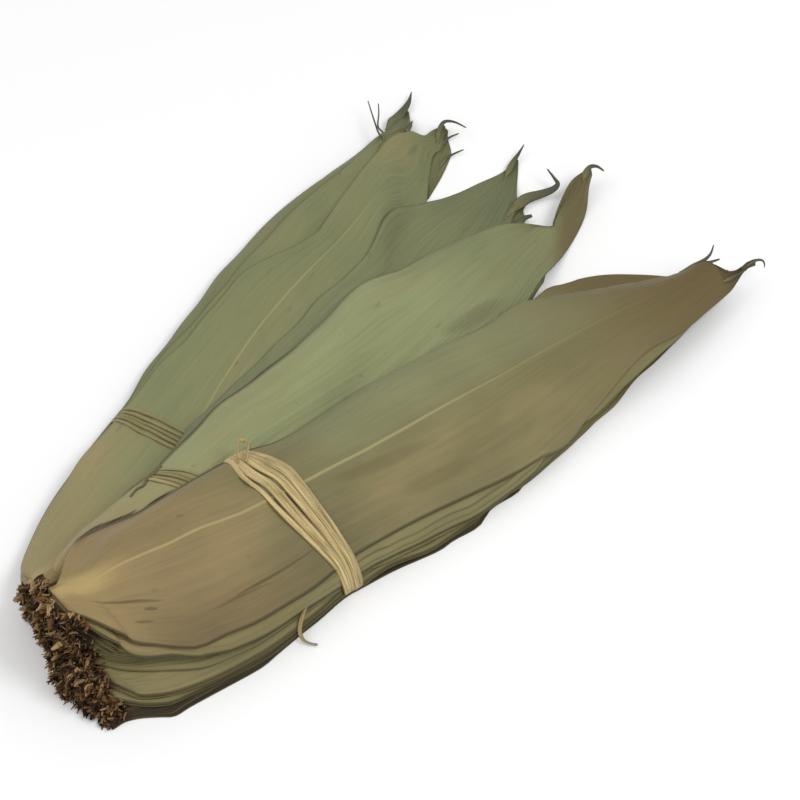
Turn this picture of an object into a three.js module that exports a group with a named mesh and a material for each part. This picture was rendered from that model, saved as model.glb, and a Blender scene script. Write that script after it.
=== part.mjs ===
// Sheaf of dried bamboo leaves: three tied hands of leaves fanned from one heap of stalks.
// Millimetres, +Z up. Leaves run along +X from stalk to tip, the back hand lies toward +Y.
// Each leaf is laid on the ones below it, so the stack carries itself leaf by leaf.
import * as THREE from 'three';

// Driving dimensions
const BLADE_T = 0.6; // thickness of a leaf blade
const STALK_T = 1.9; // thickness of the stalk end
const STALK_HALF = 2.4; // half width of the stalk
const MIDRIB = 0.4; // height of the midrib over the blade
const TIP_HALF = 0.8; // half width of the blunt end of a tip
const CLEAR = 0.5; // free space between neighbours
const LAYER_STALK = 1.3; // further rise over the stalk heap
const LAYER_MID = 0.3; // further rise over the midrib
const HEAP_HALF = 9; // half width of the stalk heap of one leaf
const FADE = 15; // distance over which a leaf above a margin sinks
const FADE_END = 60; // distance over which a leaf above a tip sinks
const BAND_T = 0.6; // thickness of a tie
const BAND_GAP = 0.38; // free space between tie and leaves
const BAND_RISE = 1.5; // room left for the ties under each hand
const BAND_FROM = 78; // the room for the ties starts here
const BAND_TO = 128; // and ends here
const WAIST_REACH = 26; // reach of the waist that a tie draws in

// Hands, from the lowest to the highest. bottom and top give the stalk ends of the
// lowest and highest leaf, tip the end of the highest leaf, left and right the half
// widths of the highest leaf, lowLeft and lowRight those of the lowest one.
const HANDS = [
  {
    name: 'back', count: 9, layer: 1.55, stalk: 6, bottom: [8, 24], top: [10, 41], tip: [344, 138],
    spread: 5, bow: -20, left: 46, right: 24, lowLeft: 44, lowRight: 33,
    sharpLeft: 0.5, sharpRight: 0.6, fullLeft: 0.84, fullRight: 0.84,
    tie: 112, slant: -0.13, pinchLeft: 0.05, pinchRight: 0.1, hook: 0, bandTop: 13, bandSide: 8,
  },
  {
    name: 'middle', count: 9, layer: 1.55, stalk: 9, bottom: [-5, 2], top: [7, 27], tip: [370, 54],
    spread: 6, bow: -16, left: 34, right: 24, lowLeft: 32, lowRight: 30,
    sharpLeft: 0.55, sharpRight: 0.5, fullLeft: 0.88, fullRight: 0.84,
    tie: 88, slant: -0.33, pinchLeft: 0.06, pinchRight: 0.1, hook: 0, bandTop: 11, bandSide: 8,
  },
  {
    name: 'front', count: 14, layer: 1.4, stalk: 13, bottom: [-4, -24], top: [3, 14], tip: [374, -30],
    spread: 4, bow: 0, left: 35, right: 37, lowLeft: 28, lowRight: 27,
    sharpLeft: 0.52, sharpRight: 0.42, fullLeft: 1.04, fullRight: 0.86,
    tie: 115, slant: -0.07, pinchLeft: 0.16, pinchRight: 0.12, hook: -7, bandTop: 22, bandSide: 8,
    taut: true, tail: true,
  },
];

// Leaves whose ends show: hand, place counted from the top, end and left half width
const SHOWN = [
  { hand: 0, down: 0, tip: [350, 134] },
  { hand: 0, down: 2, tip: [347, 157], left: 44 },
  { hand: 0, down: 4, tip: [351, 122], left: 30 },
  { hand: 1, down: 0, tip: [373, 55], left: 34 },
  { hand: 1, down: 3, tip: [360, 89], left: 35 },
  { hand: 1, down: 5, tip: [356, 74], left: 28 },
  { hand: 2, down: 0, tip: [379, -36] },
  { hand: 2, down: 2, tip: [368, -18], left: 35 },
];

const MIDDLE_STATIONS = [52, 78, 103, 128, 165, 205, 245, 283]; // shared by all leaves
const BASE_STATIONS = [0, 4, 14]; // from the start of the blade
const END_STATIONS = [-42, -22, -8, 0]; // from the tip
const ACROSS = [-1, -0.62, -0.27, 0, 0.27, 0.62, 1];
const BAND_STEPS = 17;

// Loose end of the tie of the front hand: points from the tie outward
const TAIL = [
  [111, -46.8, 5], [104, -48.9, 5], [96, -50.4, 4.5], [87, -51.4, 3.2], [82.5, -53.4, 1.8], [87, -56.8, 0.9],
];
const TAIL_WIDE = 3.2;
const TAIL_T = 0.9;

function smooth(from, to, x) {
  const t = Math.min(1, Math.max(0, (x - from) / (to - from)));
  return t * t * (3 - 2 * t);
}

function lerp(a, b, t) {
  return a + (b - a) * t;
}

// Steady scatter between -1 and 1
function scatter(seed) {
  const v = Math.sin(seed * 127.1 + 311.7) * 43758.5453;
  return (v - Math.floor(v)) * 2 - 1;
}

function makeLeaf(handIndex, k) {
  const hand = HANDS[handIndex];
  const u = k / (hand.count - 1);
  const lean = Math.log(1 + k / 3) / Math.log(1 + (hand.count - 1) / 3);
  const r = (i) => scatter(handIndex * 97 + k * 13 + i);
  const leaf = {
    hand: handIndex, k, u,
    x0: lerp(hand.bottom[0], hand.top[0], u) + 2.2 * r(1),
    y0: lerp(hand.bottom[1], hand.top[1], lean) + 0.7 * r(2),
    x1: hand.tip[0] + 9 * r(3) - 14 - 12 * (1 - u),
    y1: hand.tip[1] + hand.spread * r(4),
    bow: hand.bow + 2 * r(5),
    left: lerp(hand.lowLeft, hand.left, u) + 1.2 * r(6),
    right: lerp(hand.lowRight, hand.right, u) + 0.8 * r(7),
    loose: 0.12 * (1 - u),
  };
  for (const shown of SHOWN) {
    if (shown.hand === handIndex && hand.count - 1 - shown.down === k) {
      leaf.x1 = shown.tip[0];
      leaf.y1 = shown.tip[1];
      if (shown.left) leaf.left = shown.left;
    }
  }
  return leaf;
}

// Line of the midrib seen from above
function midY(leaf, x) {
  const hand = HANDS[leaf.hand];
  const q = (x - leaf.x0) / (leaf.x1 - leaf.x0);
  return leaf.y0 + (leaf.y1 - leaf.y0) * q + leaf.bow * 4 * q * (1 - q)
    + hand.hook * smooth(0.82, 1, q);
}

// Distance from midrib to margin, side +1 toward +Y
function halfWidth(leaf, x, side) {
  const hand = HANDS[leaf.hand];
  const base = leaf.x0 + hand.stalk;
  const q = Math.min(1, Math.max(0, (x - base) / (leaf.x1 - base)));
  const [wide, sharp, full, pinch] = side > 0
    ? [leaf.left, hand.sharpLeft, hand.fullLeft, hand.pinchLeft]
    : [leaf.right, hand.sharpRight, hand.fullRight, hand.pinchRight];
  const body = Math.pow(Math.max(Math.sin(Math.PI * Math.pow(q, full)), 0), sharp);
  const near = Math.exp(-Math.pow((x - hand.tie) / WAIST_REACH, 2));
  const blade = wide * body * (1 - Math.pow(q, 11)) * (1 - (pinch + leaf.loose) * near);
  const stalk = lerp(STALK_HALF, TIP_HALF, smooth(leaf.x1 - 60, leaf.x1, x));
  return Math.hypot(blade, stalk);
}

// How far the leaf carries what lies above it: 1 on the leaf, fading beyond its margin
function carries(leaf, x, y) {
  const xc = Math.min(leaf.x1, Math.max(leaf.x0, x));
  const t = y - midY(leaf, xc);
  const heap = HEAP_HALF * (1 - smooth(25, 60, x));
  const w = Math.max(halfWidth(leaf, xc, t > 0 ? 1 : -1), heap);
  return (1 - smooth(1, 1 + FADE, Math.abs(t) - w)) * (1 - smooth(leaf.x1, leaf.x1 + FADE_END, x));
}

function rise(leaf, x, y) {
  const xc = Math.min(leaf.x1, Math.max(leaf.x0, x));
  const t = y - midY(leaf, xc);
  const stalk = 1 - smooth(8, 95, x);
  const bell = Math.exp(-Math.pow(t / (24 - 12 * stalk), 2));
  return HANDS[leaf.hand].layer + (LAYER_MID + LAYER_STALK * stalk) * bell;
}

// Line along which a tie crosses its hand
function tieX(hand, y) {
  const mid = lerp(hand.top[1], hand.tip[1], 0.3);
  return hand.tie + hand.slant * (y - mid);
}

// Share of the room for the ties that is left at a place along the sheaf
function tieRoom(x) {
  return smooth(BAND_FROM - 24, BAND_FROM, x) * (1 - smooth(BAND_TO, BAND_TO + 30, x));
}

function thickness(leaf, x) {
  const base = leaf.x0 + HANDS[leaf.hand].stalk;
  return lerp(STALK_T, BLADE_T, smooth(base - 2, base + 14, x));
}

// Height of the underside of a leaf from the leaves and ties below it
function layHeight(leaves, index, x, y) {
  const leaf = leaves[index];
  const cover = HANDS.map(() => 0);
  let z = 0;
  for (let j = 0; j < index; j++) {
    const share = carries(leaves[j], x, y);
    z += share * rise(leaves[j], x, y);
    cover[leaves[j].hand] = Math.max(cover[leaves[j].hand], share);
  }
  cover[leaf.hand] = 1;
  return z + tieRoom(x) * BAND_RISE * cover.reduce((a, b) => a + b, 0);
}

// Grid of a leaf: stations along X, points across
function gridLeaf(leaves, index) {
  const leaf = leaves[index];
  const base = leaf.x0 + HANDS[leaf.hand].stalk;
  leaf.xs = [leaf.x0, ...BASE_STATIONS.map((d) => base + d), ...MIDDLE_STATIONS,
    ...END_STATIONS.map((d) => leaf.x1 + d)];
  leaf.ys = leaf.xs.map((x) => ACROSS.map((a) => midY(leaf, x) + a * halfWidth(leaf, x, a)));
  leaf.low = leaf.xs.map((x, i) => leaf.ys[i].map((y) => layHeight(leaves, index, x, y)));
}

// Vertical thickness at each point, so that the blade is equally thick on a slope
function fillThickness(leaf) {
  leaf.rise = leaf.xs.map((x, i) => leaf.ys[i].map((y, c) => {
    const a = Math.max(0, i - 1);
    const b = Math.min(leaf.xs.length - 1, i + 1);
    const l = Math.max(0, c - 1);
    const r = Math.min(ACROSS.length - 1, c + 1);
    const dx = (leaf.low[b][c] - leaf.low[a][c]) / (leaf.xs[b] - leaf.xs[a]);
    const dy = (leaf.low[i][r] - leaf.low[i][l]) / (leaf.ys[i][r] - leaf.ys[i][l]);
    const rib = ACROSS[c] === 0 ? MIDRIB * (1 - smooth(0.5 * leaf.x1, leaf.x1, x)) : 0;
    return rib + thickness(leaf, x) * Math.min(1.6, Math.hypot(1, dx, dy));
  }));
}

// Corner indices and weights of the facet under a point, or null outside the leaf
function facetAt(leaf, x, y) {
  const { xs, ys } = leaf;
  if (x < xs[0] || x > xs[xs.length - 1]) return null;
  let i = 0;
  while (i < xs.length - 2 && x > xs[i + 1]) i++;
  const f = (x - xs[i]) / (xs[i + 1] - xs[i]);
  let c = -1;
  for (let n = 0; n < ACROSS.length - 1; n++) {
    const right = lerp(ys[i][n], ys[i + 1][n], f);
    const left = lerp(ys[i][n + 1], ys[i + 1][n + 1], f);
    if (y >= right - 1e-6 && y <= left + 1e-6) {
      c = n;
      break;
    }
  }
  if (c < 0) return null;
  const corner = (di, dc) => [i + di, c + dc];
  for (const tri of [[corner(0, 0), corner(1, 0), corner(0, 1)], [corner(0, 1), corner(1, 0), corner(1, 1)]]) {
    const [p, q, r] = tri.map(([a, b]) => [xs[a], ys[a][b]]);
    const d = (q[0] - p[0]) * (r[1] - p[1]) - (r[0] - p[0]) * (q[1] - p[1]);
    const wq = ((x - p[0]) * (r[1] - p[1]) - (r[0] - p[0]) * (y - p[1])) / d;
    const wr = ((q[0] - p[0]) * (y - p[1]) - (x - p[0]) * (q[1] - p[1])) / d;
    if (wq >= -1e-5 && wr >= -1e-5 && wq + wr <= 1 + 1e-5) return { tri, w: [1 - wq - wr, wq, wr] };
  }
  return null;
}

function valueAt(field, facet) {
  let v = 0;
  facet.tri.forEach(([i, c], n) => { v += field[i][c] * facet.w[n]; });
  return v;
}

// Corners and edges of the facets of a leaf, seen from above
function outlineFacets(leaf) {
  leaf.corners = [];
  leaf.edges = [];
  const at = (i, c) => [leaf.xs[i], leaf.ys[i][c]];
  for (let i = 0; i < leaf.xs.length; i++) {
    for (let c = 0; c < ACROSS.length; c++) {
      const [nextRow, nextColumn] = [i + 1 < leaf.xs.length, c + 1 < ACROSS.length];
      leaf.corners.push(at(i, c));
      if (nextRow) leaf.edges.push([at(i, c), at(i + 1, c)]);
      if (nextColumn) leaf.edges.push([at(i, c), at(i, c + 1)]);
      if (nextRow && nextColumn) leaf.edges.push([at(i, c + 1), at(i + 1, c)]);
    }
  }
}

// Points at which the edges of two leaves cross, seen from above
function crossings(leaf, below) {
  const points = [];
  for (const [p, q] of leaf.edges) {
    for (const [r, s] of below.edges) {
      if (Math.max(r[0], s[0]) < Math.min(p[0], q[0]) || Math.min(r[0], s[0]) > Math.max(p[0], q[0])) continue;
      const [ux, uy, vx, vy] = [q[0] - p[0], q[1] - p[1], s[0] - r[0], s[1] - r[1]];
      const d = ux * vy - uy * vx;
      if (Math.abs(d) < 1e-9) continue;
      const f = ((r[0] - p[0]) * vy - (r[1] - p[1]) * vx) / d;
      const g = ((r[0] - p[0]) * uy - (r[1] - p[1]) * ux) / d;
      if (f >= 0 && f <= 1 && g >= 0 && g <= 1) points.push([p[0] + ux * f, p[1] + uy * f]);
    }
  }
  return points;
}

// Space a leaf keeps above another one at a place along the sheaf
function spaceAbove(leaf, below, x, slope) {
  const ties = leaf.hand - below.hand;
  return CLEAR * slope + ties * BAND_RISE * 0.94 * tieRoom(x);
}

// Lifts the facet of a leaf around a point by the height that is missing there
function lift(leaf, facet, need) {
  const sum = facet.w.reduce((total, w) => total + w * w, 0);
  facet.tri.forEach(([i, c], n) => { leaf.low[i][c] += Math.max(0, need * facet.w[n] / sum); });
}

// Lifts a leaf until it clears every leaf and tie below it
function settle(leaves, index, tiePoints) {
  const leaf = leaves[index];
  outlineFacets(leaf);
  const pairs = [];
  for (const below of leaves.slice(0, index)) {
    for (const [x, y] of [...leaf.corners, ...below.corners, ...crossings(leaf, below)]) {
      const here = facetAt(leaf, x, y);
      const there = here && facetAt(below, x, y);
      if (!there) continue;
      const depth = valueAt(below.rise, there);
      const slope = Math.min(1.6, depth / thickness(below, x));
      pairs.push([here, valueAt(below.low, there) + depth + spaceAbove(leaf, below, x, slope)]);
    }
  }
  for (const [x, y, z] of tiePoints) {
    const here = facetAt(leaf, x, y);
    if (here) pairs.push([here, z + BAND_GAP]);
  }
  for (let round = 0; round < 60; round++) {
    let worst = 0;
    for (const [here, z] of pairs) {
      const need = z - valueAt(leaf.low, here);
      if (need <= 0.005) continue;
      worst = Math.max(worst, need);
      lift(leaf, here, need);
    }
    if (worst < 0.02) break;
  }
  fillThickness(leaf);
}

function bodyFrom(points, faces, name, color, roughness) {
  const geometry = new THREE.BufferGeometry();
  geometry.setAttribute('position', new THREE.Float32BufferAttribute(points.flat(), 3));
  geometry.setIndex(faces.flat());
  geometry.computeVertexNormals();
  const mesh = new THREE.Mesh(geometry, new THREE.MeshStandardMaterial({ color, roughness, metalness: 0 }));
  mesh.name = name;
  return mesh;
}

function leafBody(leaf, name, color) {
  const rows = leaf.xs.length;
  const cols = ACROSS.length;
  const points = [];
  for (const up of [0, 1]) {
    for (let i = 0; i < rows; i++) {
      for (let c = 0; c < cols; c++) {
        points.push([leaf.xs[i], leaf.ys[i][c], leaf.low[i][c] + up * leaf.rise[i][c]]);
      }
    }
  }
  const lo = (i, c) => i * cols + c;
  const hi = (i, c) => rows * cols + lo(i, c);
  const faces = [];
  for (let i = 0; i < rows - 1; i++) {
    for (let c = 0; c < cols - 1; c++) {
      faces.push([hi(i, c), hi(i + 1, c), hi(i, c + 1)], [hi(i, c + 1), hi(i + 1, c), hi(i + 1, c + 1)]);
      faces.push([lo(i, c), lo(i, c + 1), lo(i + 1, c)], [lo(i, c + 1), lo(i + 1, c + 1), lo(i + 1, c)]);
    }
    const e = cols - 1;
    faces.push([lo(i, 0), lo(i + 1, 0), hi(i + 1, 0)], [lo(i, 0), hi(i + 1, 0), hi(i, 0)]);
    faces.push([lo(i + 1, e), lo(i, e), hi(i, e)], [lo(i + 1, e), hi(i, e), hi(i + 1, e)]);
  }
  for (let c = 0; c < cols - 1; c++) {
    const r = rows - 1;
    faces.push([lo(0, c + 1), lo(0, c), hi(0, c)], [lo(0, c + 1), hi(0, c), hi(0, c + 1)]);
    faces.push([lo(r, c), lo(r, c + 1), hi(r, c + 1)], [lo(r, c), hi(r, c + 1), hi(r, c)]);
  }
  return bodyFrom(points, faces, name, color, 0.75);
}

// Highest upper face or lowest underside of a hand at a point, null beside the hand
function handSurface(leaves, handIndex, x, y, upper) {
  let best = null;
  for (const leaf of leaves) {
    if (leaf.hand !== handIndex) continue;
    const facet = facetAt(leaf, x, y);
    if (!facet) continue;
    const z = valueAt(leaf.low, facet) + (upper ? valueAt(leaf.rise, facet) : 0);
    if (best === null || (upper ? z > best : z < best)) best = z;
  }
  return best;
}

// Lowest height at which a tie clears the hands below its own, 0 over the ground
function topBelow(leaves, handIndex, x, y) {
  let top = 0;
  for (let h = 0; h < handIndex; h++) {
    for (const beside of [-1.5, 0, 1.5]) {
      const z = handSurface(leaves, h, x, y + beside, true);
      if (z !== null) top = Math.max(top, z + BAND_GAP);
    }
  }
  return top;
}

// Outermost margin of a hand where the tie crosses it
function handEdge(leaves, handIndex, x, side) {
  let edge = null;
  for (const leaf of leaves) {
    if (leaf.hand !== handIndex) continue;
    let i = 0;
    while (i < leaf.xs.length - 2 && x > leaf.xs[i + 1]) i++;
    const f = (x - leaf.xs[i]) / (leaf.xs[i + 1] - leaf.xs[i]);
    const column = side > 0 ? ACROSS.length - 1 : 0;
    const y = lerp(leaf.ys[i][column], leaf.ys[i + 1][column], f);
    if (edge === null || side * y > side * edge) edge = y;
  }
  return edge;
}

// Heights of a cord pulled taut over a row of points
function pullTaut(row) {
  const z = row.map((p) => p.z);
  row.forEach((p, i) => {
    for (let a = 0; a < i; a++) {
      for (let b = i + 1; b < row.length; b++) {
        const f = (p.y - row[a].y) / (row[b].y - row[a].y);
        p.z = Math.max(p.z, lerp(z[a], z[b], f));
      }
    }
  });
}

// Moves a band off the leaves of its hand, rows of three points across
function clearBand(leaves, handIndex, rows, upper) {
  const sign = upper ? 1 : -1;
  for (let round = 0; round < 20; round++) {
    let worst = 0;
    for (let i = 0; i < rows.length - 1; i++) {
      for (let c = 0; c < 2; c++) {
        const corners = [rows[i][c], rows[i + 1][c], rows[i][c + 1], rows[i + 1][c + 1]];
        for (const f of [0, 0.125, 0.25, 0.375, 0.5, 0.625, 0.75, 0.875]) {
          for (const g of [0, 0.25, 0.5, 0.75, 1]) {
            const weights = f > g ? [1 - f, f - g, 0, g] : [1 - g, 0, g - f, f];
            const mean = (key) => corners.reduce((sum, p, n) => sum + p[key] * weights[n], 0);
            let need = 0;
            for (const beside of [-0.7, 0, 0.7]) {
              const z = handSurface(leaves, handIndex, mean('x'), mean('y') + beside, upper);
              if (z !== null) need = Math.max(need, sign * (z - mean('z')));
            }
            if (need <= 0.01) continue;
            worst = Math.max(worst, need);
            const sum = weights.reduce((total, w) => total + w * w, 0);
            corners.forEach((p, n) => { p.z += sign * need * weights[n] / sum; });
          }
        }
      }
    }
    if (worst < 0.03) break;
  }
}

// A tie: a flat band around one hand, wide on top and narrow at the sides
function makeTie(leaves, handIndex, name, color) {
  const hand = HANDS[handIndex];
  const ring = [];
  const edge = [-1, 1].map((side) => {
    let x = hand.tie;
    for (let n = 0; n < 6; n++) x = tieX(hand, handEdge(leaves, handIndex, x, side));
    return x;
  });
  const widthAt = (v, upper) => (upper ? lerp(hand.bandSide, hand.bandTop, Math.pow(v, 0.8)) : hand.bandSide);
  const place = (v, upper, across) => {
    const half = widthAt(v, upper) / 2 * across;
    const sideX = lerp(edge[0], edge[1], v) + half;
    const right = handEdge(leaves, handIndex, sideX, -1) - BAND_GAP - 0.3;
    const left = handEdge(leaves, handIndex, sideX, 1) + BAND_GAP + 0.3;
    return { x: sideX, y: lerp(right, left, v), right, left };
  };
  for (let step = 0; step <= BAND_STEPS * 2 + 1; step++) {
    const upper = step <= BAND_STEPS;
    const v = upper ? step / BAND_STEPS : 1 - (step - BAND_STEPS - 1) / BAND_STEPS;
    const row = [-1, 0, 1].map((across) => {
      const p = place(v, upper, across);
      let z = null;
      for (let reach = 0; z === null && reach < 8; reach++) {
        const inward = p.y + (v > 0.5 ? -1 : 1) * reach * 0.5;
        z = handSurface(leaves, handIndex, p.x, inward, upper);
      }
      return { ...p, z };
    });
    ring.push({ row, upper, v });
  }
  if (hand.taut) {
    for (let across = 0; across < 3; across++) pullTaut(ring.filter((r) => r.upper).map((r) => r.row[across]));
  }
  for (const upper of [true, false]) {
    clearBand(leaves, handIndex, ring.filter((r) => r.upper === upper).map((r) => r.row), upper);
  }
  const points = [];
  const total = ring.length;
  for (const shell of [0, 1]) {
    for (const { row, upper, v } of ring) {
      for (const p of row) {
        const y = p.y + shell * BAND_T * (v === 0 ? -1 : v === 1 ? 1 : 0);
        const above = p.z + 1.25 * BAND_GAP + shell * BAND_T;
        const carried = topBelow(leaves, handIndex, p.x, y);
        const under = Math.max(carried, p.z - 1.25 * BAND_GAP - BAND_T);
        const below = under + (1 - shell) * BAND_T;
        points.push([p.x, y, upper ? above : below]);
      }
    }
  }
  const at = (shell, i, c) => shell * total * 3 + (i % total) * 3 + c;
  const faces = [];
  const quad = (a, b, c, d) => faces.push([a, b, c], [a, c, d]);
  for (let i = 0; i < total; i++) {
    for (let c = 0; c < 2; c++) {
      const open = hand.tail && i === total - 1 && c === 0;
      if (!open) quad(at(1, i, c), at(1, i, c + 1), at(1, i + 1, c + 1), at(1, i + 1, c));
      quad(at(0, i, c), at(0, i + 1, c), at(0, i + 1, c + 1), at(0, i, c + 1));
    }
    quad(at(0, i, 0), at(1, i, 0), at(1, i + 1, 0), at(0, i + 1, 0));
    quad(at(0, i, 2), at(0, i + 1, 2), at(1, i + 1, 2), at(1, i, 2));
  }
  if (hand.tail) {
    let loop = [at(1, total - 1, 0), at(1, total - 1, 1), at(1, 0, 1), at(1, 0, 0)];
    TAIL.forEach((p, n) => {
      const from = new THREE.Vector3(...TAIL[Math.max(0, n - 1)]);
      const along = new THREE.Vector3(...TAIL[Math.min(TAIL.length - 1, n + 1)]).sub(from).normalize();
      const side = new THREE.Vector3(0, 0, 1).cross(along).normalize();
      const up = along.clone().cross(side);
      const next = [[-1, -1], [1, -1], [1, 1], [-1, 1]].map(([a, b]) => {
        const corner = new THREE.Vector3(...p).addScaledVector(side, a * TAIL_WIDE / 2)
          .addScaledVector(up, -b * TAIL_T / 2);
        return points.push(corner.toArray()) - 1;
      });
      for (let e = 0; e < 4; e++) quad(loop[e], loop[(e + 1) % 4], next[(e + 1) % 4], next[e]);
      loop = next;
    });
    quad(...loop);
  }
  const outer = points.slice(total * 3, total * 6);
  const halfway = outer.slice(0, -3).map((p, n) => p.map((v, a) => (v + outer[n + 3][a]) / 2));
  return { mesh: bodyFrom(points, faces, name, color, 0.8), points: outer.concat(halfway) };
}

const LEAF_COLORS = {
  back: ['#7d7c5c', '#83845f'],
  middle: ['#7a7d58', '#8d926c'],
  front: ['#7a6a46', '#8a8262'],
};

function build() {
  const leaves = [];
  const meshes = [];
  const tiePoints = [];
  HANDS.forEach((hand, h) => {
    const [lowColor, highColor] = LEAF_COLORS[hand.name].map((c) => new THREE.Color(c));
    for (let k = 0; k < hand.count; k++) {
      const leaf = makeLeaf(h, k);
      leaves.push(leaf);
      gridLeaf(leaves, leaves.length - 1);
      fillThickness(leaf);
      settle(leaves, leaves.length - 1, tiePoints);
      const number = String(k + 1).padStart(2, '0');
      meshes.push(leafBody(leaf, `leaf_${hand.name}_${number}`, lowColor.clone().lerp(highColor, leaf.u)));
    }
    const tie = makeTie(leaves, h, `tie_${hand.name}`, '#ab9770');
    meshes.push(tie.mesh);
    tiePoints.push(...tie.points);
  });

  const box = new THREE.Box3();
  for (const mesh of meshes) box.expandByObject(mesh);
  const shift = [-(box.min.x + box.max.x) / 2, -(box.min.y + box.max.y) / 2, -box.min.z];
  const group = new THREE.Group();
  group.name = 'dried_bamboo_leaf_sheaf';
  for (const mesh of meshes) {
    mesh.geometry.translate(...shift);
    group.add(mesh);
  }
  group.userData.shift = shift;
  return group;
}

export default build();
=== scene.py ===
"""Sheaf of dried bamboo leaves: three tied hands of leaves fanned from one heap of stalks.

Each leaf is a thin pleated blade that is laid on the leaves below it, each tie is a bundle
of split raffia, and the cut stalk ends are a dark tangle of fibres. Lengths in the plan of
the heap are millimetres from the stalk heap; the meshes and the add-on's sizes are metres.
"""

import math

import bpy
import numpy as np
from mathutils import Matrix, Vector


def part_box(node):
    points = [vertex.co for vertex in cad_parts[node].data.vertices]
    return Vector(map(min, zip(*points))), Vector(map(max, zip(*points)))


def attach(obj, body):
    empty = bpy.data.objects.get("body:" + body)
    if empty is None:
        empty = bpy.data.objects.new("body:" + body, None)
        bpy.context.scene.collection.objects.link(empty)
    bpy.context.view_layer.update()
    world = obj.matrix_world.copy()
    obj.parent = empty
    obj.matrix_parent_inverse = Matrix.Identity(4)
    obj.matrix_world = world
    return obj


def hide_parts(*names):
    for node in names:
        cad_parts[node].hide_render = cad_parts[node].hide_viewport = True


bl_info = {
    "name": "Dried Bamboo Leaf Sheaf",
    "version": (1, 0, 0),
    "blender": (4, 5, 0),
    "location": "3D View > Sidebar > Leaf Sheaf",
    "description": "Lays, ties and colours a sheaf of dried bamboo leaves",
    "category": "Add Mesh",
}

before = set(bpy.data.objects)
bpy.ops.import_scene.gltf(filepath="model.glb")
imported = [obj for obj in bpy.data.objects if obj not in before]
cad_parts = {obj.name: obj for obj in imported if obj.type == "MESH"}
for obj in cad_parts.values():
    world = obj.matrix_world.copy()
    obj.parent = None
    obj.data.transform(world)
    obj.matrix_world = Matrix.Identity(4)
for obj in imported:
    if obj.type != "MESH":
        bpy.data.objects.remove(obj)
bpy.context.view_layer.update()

MM = 0.001

# Hands from the lowest to the highest, as the part's source has them. bottom and top give
# the stalk ends of the lowest and highest leaf, tip the end of the highest leaf. layer is the
# height of one leaf, stalk its stalk's length, spread the scatter of the tips and bow the bend
# of the midribs. left and right are half widths, low_left and low_right those of the lowest
# leaf. sharp, full and pinch shape the left and the right margin, tie and slant place the tie,
# and hook turns the tips aside. bunches lists leaves whose right margins lie together, lowest
# and highest leaf of each bunch.
HANDS = (
    dict(
        name="back", count=9, layer=1.55, stalk=6, bottom=(8, 24), top=(10, 41), tip=(344, 138),
        spread=5, bow=-20, left=46, right=24, low_left=44, low_right=33,
        sharp=(0.5, 0.6), full=(0.84, 0.84), pinch=(0.05, 0.1),
        tie=112, slant=-0.13, hook=0, bunches=(),
    ),
    dict(
        name="middle", count=9, layer=1.55, stalk=9, bottom=(-5, 2), top=(7, 27), tip=(370, 54),
        spread=6, bow=-16, left=34, right=24, low_left=32, low_right=30,
        sharp=(0.55, 0.5), full=(0.88, 0.84), pinch=(0.06, 0.1),
        tie=88, slant=-0.33, hook=0, bunches=(),
    ),
    dict(
        name="front", count=14, layer=1.4, stalk=13, bottom=(-4, -24), top=(3, 14), tip=(374, -30),
        spread=4, bow=0, left=35, right=37, low_left=28, low_right=27,
        sharp=(0.52, 0.42), full=(1.04, 0.86), pinch=(0.16, 0.12),
        tie=115, slant=-0.07, hook=-7, bunches=((1, 2), (3, 4), (5, 12)),
    ),
)

# Leaves whose ends show: hand, place counted from the top, end and left half width
SHOWN = (
    dict(hand=0, down=0, tip=(350, 134)),
    dict(hand=0, down=2, tip=(347, 157), left=44),
    dict(hand=0, down=4, tip=(351, 122), left=30),
    dict(hand=1, down=0, tip=(373, 55), left=34),
    dict(hand=1, down=3, tip=(360, 89), left=35),
    dict(hand=1, down=5, tip=(356, 74), left=28),
    dict(hand=2, down=0, tip=(379, -36)),
    dict(hand=2, down=2, tip=(368, -18), left=35),
)

# Half widths of a stalk and a tip, and how leaves rest on each other, as the source has them
STALK_HALF = 2.4
TIP_HALF = 0.8
LAYER_STALK = 1.3
LAYER_MID = 0.3
HEAP_HALF = 9
FADE = 15
FADE_END = 60
BAND_RISE = 1.5
BAND_FROM = 78
BAND_TO = 128
WAIST_REACH = 26
HEAP_FROM = 25
HEAP_TO = 60
STALKS_FROM = 8
STALKS_TO = 95
BELL = 24
BELL_AT_STALKS = 12
BAND_IN = 24
BAND_OUT = 30

# Stations along a leaf of the source, and its points across as shares of the half width
SOURCE_BASE = (0, 4, 14)
SOURCE_MIDDLE = (52, 78, 103, 128, 165, 205, 245, 283)
SOURCE_END = (-42, -22, -8, 0)
SOURCE_ACROSS = (-1, -0.62, -0.27, 0, 0.27, 0.62, 1)

# How far the back hand swells to its left between the stalks and the tie
BACK_SWELL = 2.4

# Least distances: from a leaf to what lies below it, and from the floor to a leaf or a strand
AIR = 0.12
LEAF_OFF_FLOOR = 0.03
STRAND_OFF_FLOOR = 0.1

# How far a drawn line takes to come in, by the stalks and farther out, and to give way
EASE_AT_STALKS = 7
EASE_IN = 45
EASE_OUT = 40

# How far the right margins within a bunch draw in from its lowest one, with the step from leaf
# to leaf, how far the lower front leaves end inside the highest one on their left, with its
# step, and how far the lower middle leaves do so on both sides
BUNCH_GAP = 1.6
BUNCH_STEP = 0.35
INSIDE_GAP = 0.6
INSIDE_STEP = 0.15
TUCKED_GAP = 0.8

# Pleats across half a leaf, how far a tie flattens them and how wide a margin droops; how far
# in from its left and right margin a front leaf sinks, and by how much for each leaf below it
PLEATS = 2.6
TIED_REACH = 34
DROOP_WIDTH = 8
LEFT_SINK = 24
RIGHT_SINK = 27
SINK_PER_LEAF = 1.2

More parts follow.
